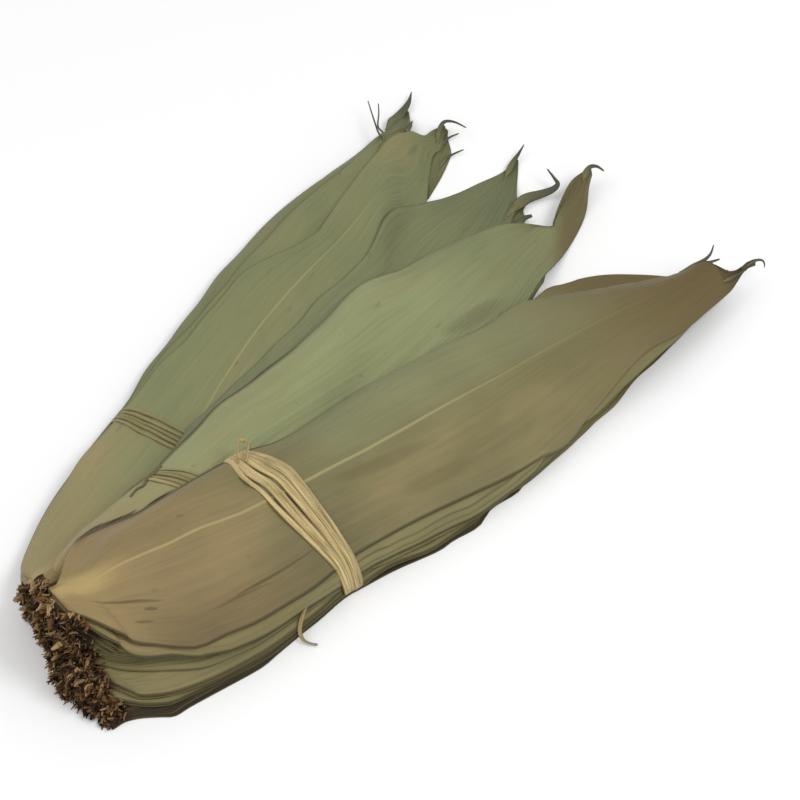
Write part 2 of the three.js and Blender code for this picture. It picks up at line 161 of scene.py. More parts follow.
# Lower leaves of the middle hand that stay under its highest one, and where they are cut
TUCKED = {0: 338, 1: 339, 2: 337, 4: 338, 6: 340, 7: 341}

# Leaves whose margins or midrib leave the even shape: points of each line, seen from above.
# A line takes over at its first point and, unless it reaches the tip, gives way at its last.
# cut ends a leaf short, raised lifts its tip, roll lifts its middle near the tip, and tucked
# keeps it under the highest leaf of its hand. All lengths are millimetres.
SHAPED = {
    ("back", 8): dict(
        rib=(
            (60, 46), (95, 52), (131.8, 65), (154.4, 75.2), (190.7, 87.8), (223.1, 95.4),
            (255.9, 101), (300, 114),
        ),
        left=(
            (248, 112), (276, 123), (313.6, 134.2), (327, 133.9), (331.4, 133.2), (336, 129.8),
            (342, 130.2), (350, 130.2),
        ),
        right=((297.8, 91.3), (329, 117.5), (337.8, 120), (346.7, 126.4), (350, 128.8)),
        roll=0.6,
    ),
    ("back", 6): dict(
        left=((280, 141.6), (296.2, 145.4), (324.9, 147), (338.1, 150), (347, 154)),
        right=((300, 118), (334.2, 138.3), (340.9, 144.4), (347, 151)),
        roll=0.5,
    ),
    ("back", 4): dict(
        left=((300, 128), (351, 130.4)),
        right=(
            (310, 101), (325.3, 107.2), (337, 113.2), (341.3, 116.4), (346.7, 123.8), (351, 128),
        ),
        roll=0.5,
    ),
    ("middle", 8): dict(
        left=(
            (236, 68), (260.7, 70.5), (288.8, 66.1), (304.2, 58.2), (319.2, 49.8), (330.7, 41.4),
            (334.2, 42.6), (341.4, 46.7), (348, 49.8), (356, 53.2), (363, 55.8), (369, 56),
            (373, 54.6),
        ),
        right=(
            (265, 8), (290.8, 17), (304, 21.6), (316, 25), (327, 28.4), (343, 34.4), (356, 40.6),
            (365.5, 47.8), (373, 52.6),
        ),
        roll=3.2,
    ),
    ("middle", 5): dict(
        left=(
            (290, 98.8), (306.3, 97.6), (319.7, 94.2), (334.6, 91.4), (346.5, 88.8), (355, 89),
            (360, 90),
        ),
        right=((300, 46), (330.1, 62.9), (345.7, 76.4), (355, 84.4), (360, 89)),
        roll=0.6,
    ),
    ("middle", 3): dict(
        left=((305, 72.4), (322, 71.5), (330, 69.5), (334, 66.5), (340, 66)),
        right=((305, 45), (322, 53), (331, 57.5), (336, 63), (340, 65)),
        cut=340,
    ),
    **{("middle", k): dict(tucked=True, cut=cut) for k, cut in TUCKED.items()},
    ("front", 0): dict(
        right=(
            (3.5, -26.7), (9.3, -29.9), (15.5, -35.2), (20.2, -39.2), (27.6, -40.2), (37.1, -41.9),
            (46.7, -43.7), (56.3, -45.5), (63.8, -46.5), (70, -46.1), (84.8, -45.6), (96.6, -45.5),
            (112.1, -44.6), (122.9, -46.3), (138.2, -49.1), (158.2, -54.6), (167.4, -55.2),
            (180.6, -57.4), (191.9, -54.4), (206.5, -56.1), (217, -53.5), (233.8, -53.4),
            (245.7, -53.8), (264.5, -51.7), (297.4, -46.2),
        ),
    ),
    ("front", 1): dict(
        right=(
            (6.4, -16.3), (7.6, -19.8), (13.7, -27.7), (21.5, -33.6), (30.9, -36.6), (45.1, -40.7),
            (60.4, -44.2), (69.8, -45.5), (84.7, -45.2), (96.4, -45), (111.8, -44.2), (122.6, -46),
        ),
    ),
    ("front", 3): dict(
        right=(
            (4.4, -6.4), (6.8, -12.4), (9.6, -17.8), (13.9, -25.8), (23.6, -31.5), (34.7, -35.6),
            (46.5, -39.2), (61.5, -42.6), (76.8, -44.2), (97.4, -44.2), (113, -43.2),
        ),
    ),
    ("front", 5): dict(
        right=(
            (5, -1.5), (9.5, -7.2), (13.7, -14.1), (21.2, -20.2), (33.4, -28.3), (42, -33.4),
            (54.1, -36.7), (68.7, -39.9), (89.3, -41.1), (110.9, -43), (126.7, -43.6),
            (140.9, -46.3), (157.1, -49.6), (170.6, -52), (183.5, -54.3), (210.9, -55.3),
            (233.1, -53.9),
        ),
    ),
    ("front", 12): dict(
        right=(
            (262, -51.8), (300, -51.2), (320, -50), (340, -47.4), (352, -45), (362, -42.4),
            (367.5, -40.4),
        ),
        cut=352,
    ),
    ("front", 13): dict(
        left=(
            (8, 16), (13, 18.6), (18, 23), (24, 28.5), (31, 33.2), (37, 35.2), (44, 34.2),
            (52, 31.8), (61, 29), (74, 26.6), (88, 24.9), (107, 24), (116, 24.4), (124, 22.6),
            (132, 19.8), (144, 18.4), (158, 18.6), (173, 18.6), (187, 18.2), (199, 16.2),
            (215, 13.8), (232, 11.2), (248, 8), (261, 7.8), (272, 9.2), (283, 12), (291.6, 13.4),
            (302, 15.2), (311.2, 14), (320.4, 11), (334, 1.6), (346.4, -11.6), (352, -22.6),
            (354.8, -30.4), (356, -38), (359.4, -42.2), (364, -43.6), (369, -43.6), (374, -43.2),
            (379, -44),
        ),
        right=(
            (5, 3.2), (8, -1.5), (11, -6.6), (14.2, -12.3), (19.8, -17.7), (27, -22.3), (36, -29.8),
            (42.6, -33.5), (54.2, -35.6), (66.7, -38.4), (82.8, -39.6), (104.6, -40.8),
            (121.5, -40.6), (142.2, -43.5), (165.3, -47.6), (183.5, -51), (202.2, -54),
            (223.4, -55.2), (242, -54.2), (262, -51.8), (296, -50.2), (318, -50.8), (330, -50.4),
            (341, -49.4), (352, -48.4), (358, -47.8), (363, -46.8), (368, -45.6), (373, -44.8),
            (379, -44.4),
        ),
        rib=(
            (16, 10), (38, 4.5), (52, 1.6), (71, -1.5), (100, -6.6), (128, -11.4), (167, -14.4),
            (203, -17), (240, -19.8), (269, -22.4), (303, -27.2), (325, -31.6), (345, -36),
        ),
        roll=1.2, raised=2.2,
    ),
}


def smooth(start, end, x):
    """0 at start, 1 at end, smooth between them; a start past the end gives a fall."""
    t = np.clip((x - start) / (end - start), 0, 1)
    return t * t * (3 - 2 * t)


def lerp(a, b, t):
    """From a at share 0 to b at share 1."""
    return a + (b - a) * t


def band(start, full, fade, gone, x):
    """1 from full to fade, falling smoothly to 0 at start and at gone."""
    return smooth(start, full, x) * (1 - smooth(fade, gone, x))


def scatter(seed):
    """Steady scatter between -1 and 1."""
    v = math.sin(seed * 127.1 + 311.7) * 43758.5453
    return (v - math.floor(v)) * 2 - 1


def sway(x, seed, lengths=(31, 53, 97)):
    """A slow wave along x between about -1 and 1, steady for its seed."""
    total = 0
    for n, length in enumerate(lengths):
        total = total + np.sin(2 * math.pi * (x / length + scatter(seed * 7.3 + n)))
    return total / len(lengths)


class Leaf:
    """The plan of one leaf: its place in the heap, its midrib line and its margins."""

    def __init__(self, hand_index, k):
        hand = HANDS[hand_index]
        self.hand, self.hand_index, self.k = hand, hand_index, k
        self.over = hand["count"] - 1 - k
        self.top = self.over == 0
        self.highest = f"leaf_{hand['name']}_{hand['count']:02d}"
        self.shape = SHAPED.get((hand["name"], k), {})
        self.u = k / (hand["count"] - 1)
        self.seed = hand_index * 97 + k * 13
        lean = math.log(1 + k / 3) / math.log(1 + (hand["count"] - 1) / 3)
        # Every leaf strays a little from its hand's plan, by the same amounts as in the source
        r = [scatter(self.seed + i) for i in range(8)]
        self.x0 = lerp(hand["bottom"][0], hand["top"][0], self.u) + 2.2 * r[1]
        self.y0 = lerp(hand["bottom"][1], hand["top"][1], lean) + 0.7 * r[2]
        self.x1 = hand["tip"][0] + 9 * r[3] - 14 - 12 * (1 - self.u)
        self.y1 = hand["tip"][1] + hand["spread"] * r[4]
        self.bow = hand["bow"] + 2 * r[5]
        self.left = lerp(hand["low_left"], hand["left"], self.u) + 1.2 * r[6]
        self.right = lerp(hand["low_right"], hand["right"], self.u) + 0.8 * r[7]
        self.loose = 0.12 * (1 - self.u)
        for shown in SHOWN:
            if shown["hand"] == hand_index and shown["down"] == self.over:
                self.x1, self.y1 = shown["tip"]
                self.left = shown.get("left", self.left)
        self.base = self.x0 + hand["stalk"]
        self.name = f"leaf_{hand['name']}_{k + 1:02d}"

    def mid(self, x):
        """The midrib line."""
        q = (x - self.x0) / (self.x1 - self.x0)
        bend = self.bow * 4 * q * (1 - q) + self.hand["hook"] * smooth(0.82, 1, q)
        return self.y0 + (self.y1 - self.y0) * q + bend

    def half(self, x, side):
        """Distance from midrib to margin; side is +1 toward +Y."""
        hand = self.hand
        n = 0 if side > 0 else 1
        wide = self.left if side > 0 else self.right
        q = np.clip((x - self.base) / (self.x1 - self.base), 0, 1)
        body = np.maximum(np.sin(math.pi * q ** hand["full"][n]), 0) ** hand["sharp"][n]
        near = np.exp(-(((x - hand["tie"]) / WAIST_REACH) ** 2))
        blade = wide * body * (1 - q**11) * (1 - (hand["pinch"][n] + self.loose) * near)
        stalk = lerp(STALK_HALF, TIP_HALF, smooth(self.x1 - 60, self.x1, x))
        return np.hypot(blade, stalk)

    def carries(self, x, y):
        """Share of this leaf's thickness that a leaf above it feels at a place."""
        xc = np.clip(x, self.x0, self.x1)
        t = y - self.mid(xc)
        heap = HEAP_HALF * (1 - smooth(HEAP_FROM, HEAP_TO, x))
        reach = np.where(t > 0, self.half(xc, 1), self.half(xc, -1))
        beside = np.abs(t) - np.maximum(reach, heap)
        return (1 - smooth(1, 1 + FADE, beside)) * (1 - smooth(self.x1, self.x1 + FADE_END, x))

    def rise(self, x, y):
        """Height that this leaf adds at a place."""
        xc = np.clip(x, self.x0, self.x1)
        stalk = 1 - smooth(STALKS_FROM, STALKS_TO, x)
        width = BELL - BELL_AT_STALKS * stalk
        bell = np.exp(-(((y - self.mid(xc)) / width) ** 2))
        return self.hand["layer"] + (LAYER_MID + LAYER_STALK * stalk) * bell


def tie_room(x):
    """Share of a tie's rise that a hand above it feels."""
    return band(BAND_FROM - BAND_IN, BAND_FROM, BAND_TO, BAND_TO + BAND_OUT, x)


def lay_height(leaves, index, x, y):
    """Height of the underside of a leaf from the leaves and ties below it."""
    cover = [np.zeros_like(x) for _ in HANDS]
    z = np.zeros_like(x)
    for below in leaves[:index]:
        share = below.carries(x, y)
        z = z + share * below.rise(x, y)
        h = below.hand_index
        cover[h] = np.maximum(cover[h], share)
    cover[leaves[index].hand_index] = np.ones_like(x)
    return z + tie_room(x) * BAND_RISE * sum(cover)


def tie_x(hand, y):
    """Place along a hand of its slanting tie."""
    mid = lerp(hand["top"][1], hand["tip"][1], 0.3)
    return hand["tie"] + hand["slant"] * (y - mid)


ALL_LEAVES = [Leaf(h, k) for h, hand in enumerate(HANDS) for k in range(hand["count"])]


def source_grid(leaf):
    """Places of the source node's vertices in the plan."""
    xs = [leaf.x0, *(leaf.base + d for d in SOURCE_BASE), *SOURCE_MIDDLE]
    xs = np.array(xs + [leaf.x1 + d for d in SOURCE_END], float)
    ys = [leaf.mid(xs) + a * leaf.half(xs, 1 if a > 0 else -1) for a in SOURCE_ACROSS]
    return xs, np.array(ys).T


def find_shift():
    """Where the plan's zero lies in the part's frame, in millimetres."""
    top = ALL_LEAVES[-1]
    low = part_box(top.name)[0] / MM
    xs, ys = source_grid(top)
    return np.array([low.x - top.x0, low.y - ys.min(), 0.0])


SHIFT = find_shift()


def source_lift(leaf, index):
    """How much higher the source node lies than the plan says, as a smooth surface."""
    xs, ys = source_grid(leaf)
    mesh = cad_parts[leaf.name].data
    co = np.array([v.co for v in mesh.vertices], float) / MM - SHIFT
    plan_x = np.repeat(xs[:, None], ys.shape[1], 1)
    want = lay_height(ALL_LEAVES, index, plan_x, ys)
    low = np.zeros_like(ys)
    for i in range(len(xs)):
        for c in range(ys.shape[1]):
            near = (np.abs(co[:, 0] - xs[i]) < 0.02) & (np.abs(co[:, 1] - ys[i, c]) < 0.02)
            low[i, c] = co[near, 2].min() if near.any() else want[i, c]
    q = (plan_x - leaf.x0) / (leaf.x1 - leaf.x0)
    v = np.tile(np.array(SOURCE_ACROSS), (len(xs), 1))

    def terms(q, v):
        return [q**a * v**b for a in range(5) for b in range(3)]

    basis = np.stack([t.ravel() for t in terms(q, v)], 1)
    fit = np.linalg.lstsq(basis, (low - want).ravel(), rcond=None)[0]
    return lambda q, v: sum(f * t for f, t in zip(fit, terms(q, v)))


def within(field, weights):
    """Values inside the cells of a grid, from the four corners of each."""
    corners = (field[:-1, :-1], field[1:, :-1], field[:-1, 1:], field[1:, 1:])
    return sum(corner * weight for corner, weight in zip(corners, weights))


class Heap:
    """Heights of what has been laid so far, seen from above on a grid of small cells."""

    STEP = 0.8
    LOW = np.array([-40.0, -130.0])
    SIZE = (560, 440)

    def __init__(self):
        self.top = np.zeros(self.SIZE)
        self.before = np.zeros(self.SIZE)
        self.under = np.full(self.SIZE, np.inf)

    def start_hand(self):
        """Keeps what lies below the next hand."""
        self.before = self.top.copy()
        self.under = np.full(self.SIZE, np.inf)

    def cell(self, x, y):
        """Places in cells, held inside the grid."""
        ix = np.clip((x - self.LOW[0]) / self.STEP, 0, self.SIZE[0] - 2)
        iy = np.clip((y - self.LOW[1]) / self.STEP, 0, self.SIZE[1] - 2)
        return ix, iy

    def read(self, field, x, y):
        """Heights at places between the cells."""
        ix, iy = self.cell(x, y)
        i, j = ix.astype(int), iy.astype(int)
        f, g = ix - i, iy - j
        return (
            field[i, j] * (1 - f) * (1 - g) + field[i + 1, j] * f * (1 - g)
            + field[i, j + 1] * (1 - f) * g + field[i + 1, j + 1] * f * g
        )

    def grown(self):
        """The heights with each cell raised to its highest neighbour."""
        p = np.pad(self.top, 1, mode="edge")
        a, b = self.SIZE
        return np.max([p[i:i + a, j:j + b] for i in range(3) for j in range(3)], axis=0)

    def lay(self, x, y, low, high, fine=6):
        """Adds a surface that is given as a grid of points, fine points to a side of its cells."""
        share = (np.arange(fine) + 0.5) / fine
        for f in share:
            for g in share:
                weights = ((1 - f) * (1 - g), f * (1 - g), (1 - f) * g, f * g)
                px, py, lowest, highest = (within(field, weights) for field in (x, y, low, high))
                ix, iy = self.cell(px, py)
                cells = (np.rint(ix).astype(int), np.rint(iy).astype(int))
                np.maximum.at(self.top, cells, highest)
                np.minimum.at(self.under, cells, lowest)


heap = Heap()

# Margins of the leaves that are laid, and of the highest leaf of the hand being laid
LAID = {}


def sizes():
    """The settings of the sidebar."""
    return bpy.context.scene.leaf_sheaf


# Materials and node trees


class Wire:
    """A number in a node tree; arithmetic on it adds Math nodes."""

    def __init__(self, net, socket):
        self.net, self.socket = net, socket

    def out(self, name):
        """Another output of the same node."""
        return Wire(self.net, self.socket.node.outputs[name])

    def math(self, operation, *values):
        """A Math node on this number and others."""
        return self.net.add("ShaderNodeMath", {"operation": operation}, dict(enumerate(values)))

    def __add__(self, other):
        return self.math("ADD", self, other)

    __radd__ = __add__

    def __mul__(self, other):
        return self.math("MULTIPLY", self, other)

    __rmul__ = __mul__

    def __sub__(self, other):
        return self.math("SUBTRACT", self, other)

    def __rsub__(self, other):
        return self.math("SUBTRACT", other, self)

    def __abs__(self):
        return self.math("ABSOLUTE", self)

    def sine(self):
        return self.math("SINE", self)

    def step(self, start, end):
        """0 before start, 1 after end, smooth between them."""
        return self.net.add(
            "ShaderNodeMapRange",
            {"interpolation_type": "SMOOTHSTEP", "clamp": True},
            {"Value": self, "From Min": start, "From Max": end, "To Min": 0.0, "To Max": 1.0},
        )


class Net:
    """A node tree and the one way to add a node to it."""

    def __init__(self, tree):
        self.tree = tree

    def add(self, kind, settings=None, sockets=None, out=0):
        """Adds a node: settings first, then the values or links of its sockets."""
        node = self.tree.nodes.new(kind)
        for key, value in (settings or {}).items():
            if key == "stops":
                for stop, (place, colour) in zip(node.color_ramp.elements, value):
                    stop.position, stop.color = place, colour
            else:
                setattr(node, key, value)
        for key, value in (sockets or {}).items():
            if isinstance(value, Wire):
                self.tree.links.new(value.socket, node.inputs[key])
            else:
                node.inputs[key].default_value = value
        return Wire(self, node.outputs[out]) if node.outputs else node

    def fact(self, name):
        """A number that the mesh carries at each vertex."""
        return self.add("ShaderNodeAttribute", {"attribute_name": name}, out="Fac")

    def mix(self, a, b, factor, mode="MIX"):
        """Two colours mixed by a factor."""
        settings = {"data_type": "RGBA", "blend_type": mode}
        return self.add("ShaderNodeMix", settings, {0: factor, 6: a, 7: b}, out=2)

    def noise(self, x, y, z, detail=2.0, roughness=0.5):
        """Noise over three numbers, each already at its own scale."""
        place = self.add("ShaderNodeCombineXYZ", None, {0: x, 1: y, 2: z})
        sockets = {"Vector": place, "Scale": 1.0, "Detail": detail, "Roughness": roughness}
        return self.add("ShaderNodeTexNoise", {"noise_dimensions": "3D"}, sockets)


def rgba(colour):
    """A colour with its fourth number, as sockets want it."""
    return (colour[0], colour[1], colour[2], 1.0)


def screen(red, green, blue):
    """A colour as a screen shows it, 0 to 255, in the linear numbers that Blender keeps."""
    share = [v / 255 for v in (red, green, blue)]
    return tuple(v / 12.92 if v <= 0.04045 else ((v + 0.055) / 1.055) ** 2.4 for v in share)


def new_material(name):
    """An empty material and the net of its nodes."""
    material = bpy.data.materials.new(name)
    material.use_nodes = True
    material.node_tree.nodes.clear()
    return material, Net(material.node_tree)


def finish_material(net, colour, roughness, height, depth, sheen=0.0):
    """Ends a material: one dull shader, bumped by the given height."""
    normal = net.add(
        "ShaderNodeBump", None, {"Strength": 1.0, "Distance": depth, "Height": height}
    )
    shader = net.add(
        "ShaderNodeBsdfPrincipled",
        None,
        {"Base Color": colour, "Roughness": roughness, "Normal": normal,
         "Specular IOR Level": 0.25, "Sheen Weight": sheen, "Sheen Roughness": 0.5},
    )
    net.add("ShaderNodeOutputMaterial", None, {"Surface": shader})


def shaded(net, colour, light):
    """A colour made lighter or darker."""
    grey = net.add("ShaderNodeCombineColor", None, {0: light, 1: light, 2: light})
    return net.mix(colour, grey, 1.0, "MULTIPLY")


def mark(x, y, start, finish, wide):
    """1 at the middle of a long narrow mark in the leaf's plan, 0 beyond its ends."""
    reach = np.array(finish, float) - start
    half = np.linalg.norm(reach) / 2
    cx, cy = np.array(start) + reach / 2
    ux, uy = reach / half / 2
    ahead = ((x - cx) * ux + (y - cy) * uy) * (1 / half)
    aside = ((y - cy) * ux - (x - cx) * uy) * (1 / wide)
    return 1.0 - ahead * ahead - aside * aside


def front_painted_shade(net, look, colour, cloud, streak, fine):
    """Painted shade on the front hand: on its lowest leaves, on lines inside its right margins
    where the blades are folded, and along those margins.
    """
    # painted shade on the lowest leaves, which lie in shadow down by the floor
    underside_shade = net.fact("underside_shade") * (0.6 + 0.4 * streak.step(0.3, 0.62))
    colour = net.mix(colour, rgba(look.underside_shade), underside_shade)
    right = net.fact("right_mm")
    # dark lines inside the right margin: painted shade where the blade is folded
    for inside, strength in SHADED_FOLD_LINES:
        off = abs(right + (cloud - 0.5) * 9.0 + (streak - 0.5) * 1.2 - inside)
        fold_shadow = (1.0 - off.step(0.0, 1.1)) * net.fact("shaded_folds") * (strength * (0.4 + fine))
        colour = net.mix(colour, rgba(look.stain_and_crease_shade), fold_shadow)
    # painted shadow along the right margin, mostly the gap beneath it, with the margin's own dark
    # edge
    right_margin_shade = (1.0 - (right + (fine - 0.5) * 0.8).step(0.3, 1.9)) * net.fact("right_margin_shade")
    return net.mix(colour, rgba(look.margin_shadow), right_margin_shade * 0.9)


def leaf_material(hand_name):
    """Dried leaf blade: streaked along its veins, pale midrib, browned ends, dark margins that are
    partly painted shade.
    """
    look = sizes().leaf_look
    hue = {"back": look.back, "middle": look.middle, "front": look.front}[hand_name]
    material, net = new_material(f"dried_leaf_{hand_name}")
    along, across, share = net.fact("along_mm"), net.fact("across_mm"), net.fact("share")
    edge, tone = net.fact("edge_mm"), net.fact("tone")

    cloud = net.noise(along * 0.018, across * 0.035, tone * 9.0, 3.0, 0.55)
    streak = net.noise(along * 0.012, share * 13.0, tone * 5.0, 4.0, 0.6)
    fine = net.noise(along * 0.05, share * 55.0, tone * 3.0, 2.0, 0.6)
    blotch = net.noise(along * 0.09, across * 0.22, tone * 7.0 + 3.0, 3.0, 0.6)

    colour = net.mix(rgba(hue), rgba(look.olive), cloud.step(0.42, 0.72) * 0.55)
    colour = net.mix(colour, rgba(look.young), net.fact("young"))
    browning = net.fact("dry") + (streak - 0.5) * 0.35 + (cloud - 0.5) * 0.7
    colour = net.mix(colour, rgba(look.tan), browning.step(0.15, 1.0))
    bronze = net.fact("bronze") + (streak - 0.5) * 0.3 + (cloud - 0.5) * 0.4
    colour = net.mix(colour, rgba(look.bronze), bronze.step(0.12, 0.95))
    light = 1.0 + tone * 0.1 - net.fact("dim")
    light = light + (cloud - 0.5) * 0.42 + (streak - 0.5) * 0.34 + (fine - 0.5) * 0.22
    colour = shaded(net, colour, light)
    colour = net.mix(colour, rgba(look.fleck), blotch.step(0.66, 0.74) * 0.35)
    rib = (1.0 - abs(across).step(0.2, 0.75)) * net.fact("rib")
    colour = net.mix(colour, rgba(look.rib), rib * 0.6)
    colour = net.mix(colour, rgba(look.petiole), net.fact("petiole") * (0.7 + 0.6 * streak))
    for start, finish, wide, strength in MARKS[hand_name]:
        near = mark(along, net.fact("plan_mm"), start, finish, wide)
        near = near + (fine - 0.5) * 1.6 + (streak - 0.5)
        # the middle hand's marks are painted shadow; the strongest take the margin shadow colour
        shade = look.margin_shadow if strength > SHADOW_MARK else look.stain_and_crease_shade
        stain_and_shadow = near.step(0.1, 0.9) * net.fact("top") * strength
        colour = net.mix(colour, rgba(shade), stain_and_shadow)
    if hand_name == "front":
        colour = front_painted_shade(net, look, colour, cloud, streak, fine)
    # every margin darkened: the blade's own thin dark edge, with painted shade in the gap beneath
    # it
    rim = 1.0 - edge.step(0.0, 0.9)
    colour = net.mix(colour, rgba(look.rim), rim * 0.55)
    # painted shadow along left margins that lie over another hand, with the margin's own dark edge
    colour = net.mix(colour, rgba(look.margin_shadow), net.fact("margin_shadow") * (0.55 + 0.45 * streak))
    worn = (net.fact("stub") + (fine - 0.5) * 0.7).step(0.35, 0.62)
    colour = net.mix(colour, rgba(look.stub), worn)

    vein = (share * 88.0).sine() * 0.5 + 0.5
    cross_vein = net.noise(along * 0.9, share * 30.0, tone, 2.0, 0.5)
    height = vein * 0.3 + streak * 0.9 + fine * 0.4 + cross_vein * 0.25
    finish_material(net, colour, 0.5 + 0.25 * streak, height, 0.00035, 0.03)
    return material


def raffia_material():
    """Split raffia: straw-coloured fibre with long streaks, painted shade along each strand's sides
    and a slight sheen.
    """
    look = sizes().tie_look
    material, net = new_material("split_raffia")
    along, around, tone = net.fact("along_mm"), net.fact("around"), net.fact("tone")
    fibre = net.noise(along * 0.05, around * 34.0, tone * 9.0, 3.0, 0.6)
    cloud = net.noise(along * 0.11, around * 2.0, tone * 5.0, 2.0, 0.5)
    colour = net.mix(rgba(look.dark), rgba(look.light), fibre.step(0.3, 0.68))
    colour = net.mix(colour, rgba(look.green), cloud.step(0.52, 0.75) * 0.4)
    # darker along the thin sides of each strand: painted shade between the strands
    strand_side_shade = abs((around * (2 * math.pi) + math.pi / 2).sine()).step(0.7, 1.0)
    colour = net.mix(colour, rgba(look.dark), strand_side_shade * 0.75)
    colour = net.mix(colour, rgba(look.green), (tone * -0.5).step(0.2, 1.0) * 0.7)
    colour = net.mix(colour, rgba(look.tip), net.fact("dry"))
    colour = shaded(net, colour, 1.0 + tone * 0.13)
    finish_material(net, colour, 0.38 + 0.25 * fibre, fibre, 0.0003, 0.15)
    return material


def torn_material():
    """Shrivelled leaf threads: grey olive turning dark at their ends."""
    look = sizes().leaf_look
    material, net = new_material("torn_thread")
    along, around, tone = net.fact("along_mm"), net.fact("around"), net.fact("tone")
    streak = net.noise(along * 0.2, around * 9.0, tone * 5.0, 3.0, 0.6)
    colour = net.mix(rgba(look.olive), rgba(look.thread), net.fact("dry").step(0.3, 0.8))
    colour = net.mix(colour, rgba(look.rim), streak.step(0.5, 0.7) * 0.6)
    finish_material(net, colour, 0.6 + 0.2 * streak, streak, 0.0003)
    return material


def fibre_material():
    """Broken stalk fibre: dark brown with paler split faces."""
    look = sizes().stalk_look
    material, net = new_material("stalk_fibre")
    place = net.add("ShaderNodeTexCoord", None, None, out="Object")
    patch, grain = (
        net.add("ShaderNodeTexNoise", None, {"Vector": place, "Scale": scale, "Detail": 2.0})
        for scale in (330.0, 1500.0)
    )
    colour = net.mix(rgba(look.dark), rgba(look.brown), patch.step(0.42, 0.6))
    colour = net.mix(colour, rgba(look.pale), net.fact("pale").step(0.72, 0.95))
    finish_material(net, colour, 0.7 + 0.1 * grain, grain, 0.0002)
    return material


# Mesh building


def finish_piece(name, mesh, nodes):
    """Sets a finished mesh on the part, in place of the nodes that it stands for."""
    piece = bpy.data.objects.new(name, mesh)
    bpy.context.scene.collection.objects.link(piece)
    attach(piece, "root")
    if nodes:
        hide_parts(*nodes)


def add_piece(name, points, faces, facts, material, nodes):
    """A closed mesh from millimetre points, with its facts for the material, riding the part."""
    mesh = bpy.data.meshes.new(name)
    placed = (np.asarray(points, float) + SHIFT) * MM
    mesh.from_pydata(placed.tolist(), [], [list(map(int, f)) for f in faces])
    for key, values in facts.items():
        attribute = mesh.attributes.new(key, "FLOAT", "POINT")
        attribute.data.foreach_set("value", np.asarray(values, np.float32).ravel())
    mesh.polygons.foreach_set("use_smooth", [True] * len(mesh.polygons))
    mesh.materials.append(material)
    mesh.validate()
    finish_piece(name, mesh, nodes)


def slab_faces(rows, cols):
    """Faces of a closed blade: upper grid, lower grid and the rim between them."""
    lo = np.arange(rows * cols).reshape(rows, cols)
    hi = lo + rows * cols
    up = np.stack([hi[:-1, :-1], hi[1:, :-1], hi[1:, 1:], hi[:-1, 1:]], -1).reshape(-1, 4)
    down = np.stack([lo[:-1, :-1], lo[:-1, 1:], lo[1:, 1:], lo[1:, :-1]], -1).reshape(-1, 4)
    right = np.stack([lo[:-1, 0], lo[1:, 0], hi[1:, 0], hi[:-1, 0]], -1)
    left = np.stack([lo[1:, -1], lo[:-1, -1], hi[:-1, -1], hi[1:, -1]], -1)
    start = np.stack([lo[0, 1:], lo[0, :-1], hi[0, :-1], hi[0, 1:]], -1)
    end = np.stack([lo[-1, :-1], lo[-1, 1:], hi[-1, 1:], hi[-1, :-1]], -1)
    return np.concatenate((up, down, right, left, start, end))


def rows_of(leaf):
    """Stations along a leaf, close together at both ends."""
    parts = [
        np.linspace(leaf.x0, leaf.base, 7)[:-1],
        leaf.base + 22 * np.linspace(0, 1, 13)[:-1] ** 1.5,
        np.linspace(leaf.base + 22, leaf.x1 - 60, 62)[:-1],
        np.linspace(leaf.x1 - 60, leaf.x1 - 30, 15)[:-1],
        leaf.x1 - 30 * (1 - np.linspace(0, 1, 30)) ** 1.2,
    ]
    rows = np.concatenate(parts)
    return rows[rows <= leaf.shape.get("cut", leaf.x1)]


def columns():
    """Places across a leaf, close together at the midrib and at the margins."""
    side = np.concatenate([[0.0, 0.014, 0.035], np.linspace(0.09, 0.9, 13), [0.945, 0.975, 1.0]])
    return np.concatenate([-side[:0:-1], side])


def bunch_of(leaf):
    """Lowest and highest leaf of the bunch that a leaf lies in."""
    for first, last in leaf.hand["bunches"]:
        if first <= leaf.k <= last:
            return first, last
    return leaf.k, leaf.k


def reshape(leaf, line, path, xs):
    """Draws a margin or midrib through the given points over their part of the leaf."""
    if not path:
        return
    at = through(path, 8 * len(path))
    at[:, 0] = np.maximum.accumulate(at[:, 0])
    first, last = at[0, 0], at[-1, 0]
    near = EASE_IN if first > 200 else EASE_AT_STALKS
    part = smooth(first - near, first, xs)
    if last < leaf.x1 - 12:
        part = part * (1 - smooth(last, last + EASE_OUT, xs))
    line[:] = lerp(line, np.interp(xs, at[:, 0], at[:, 1]), part)


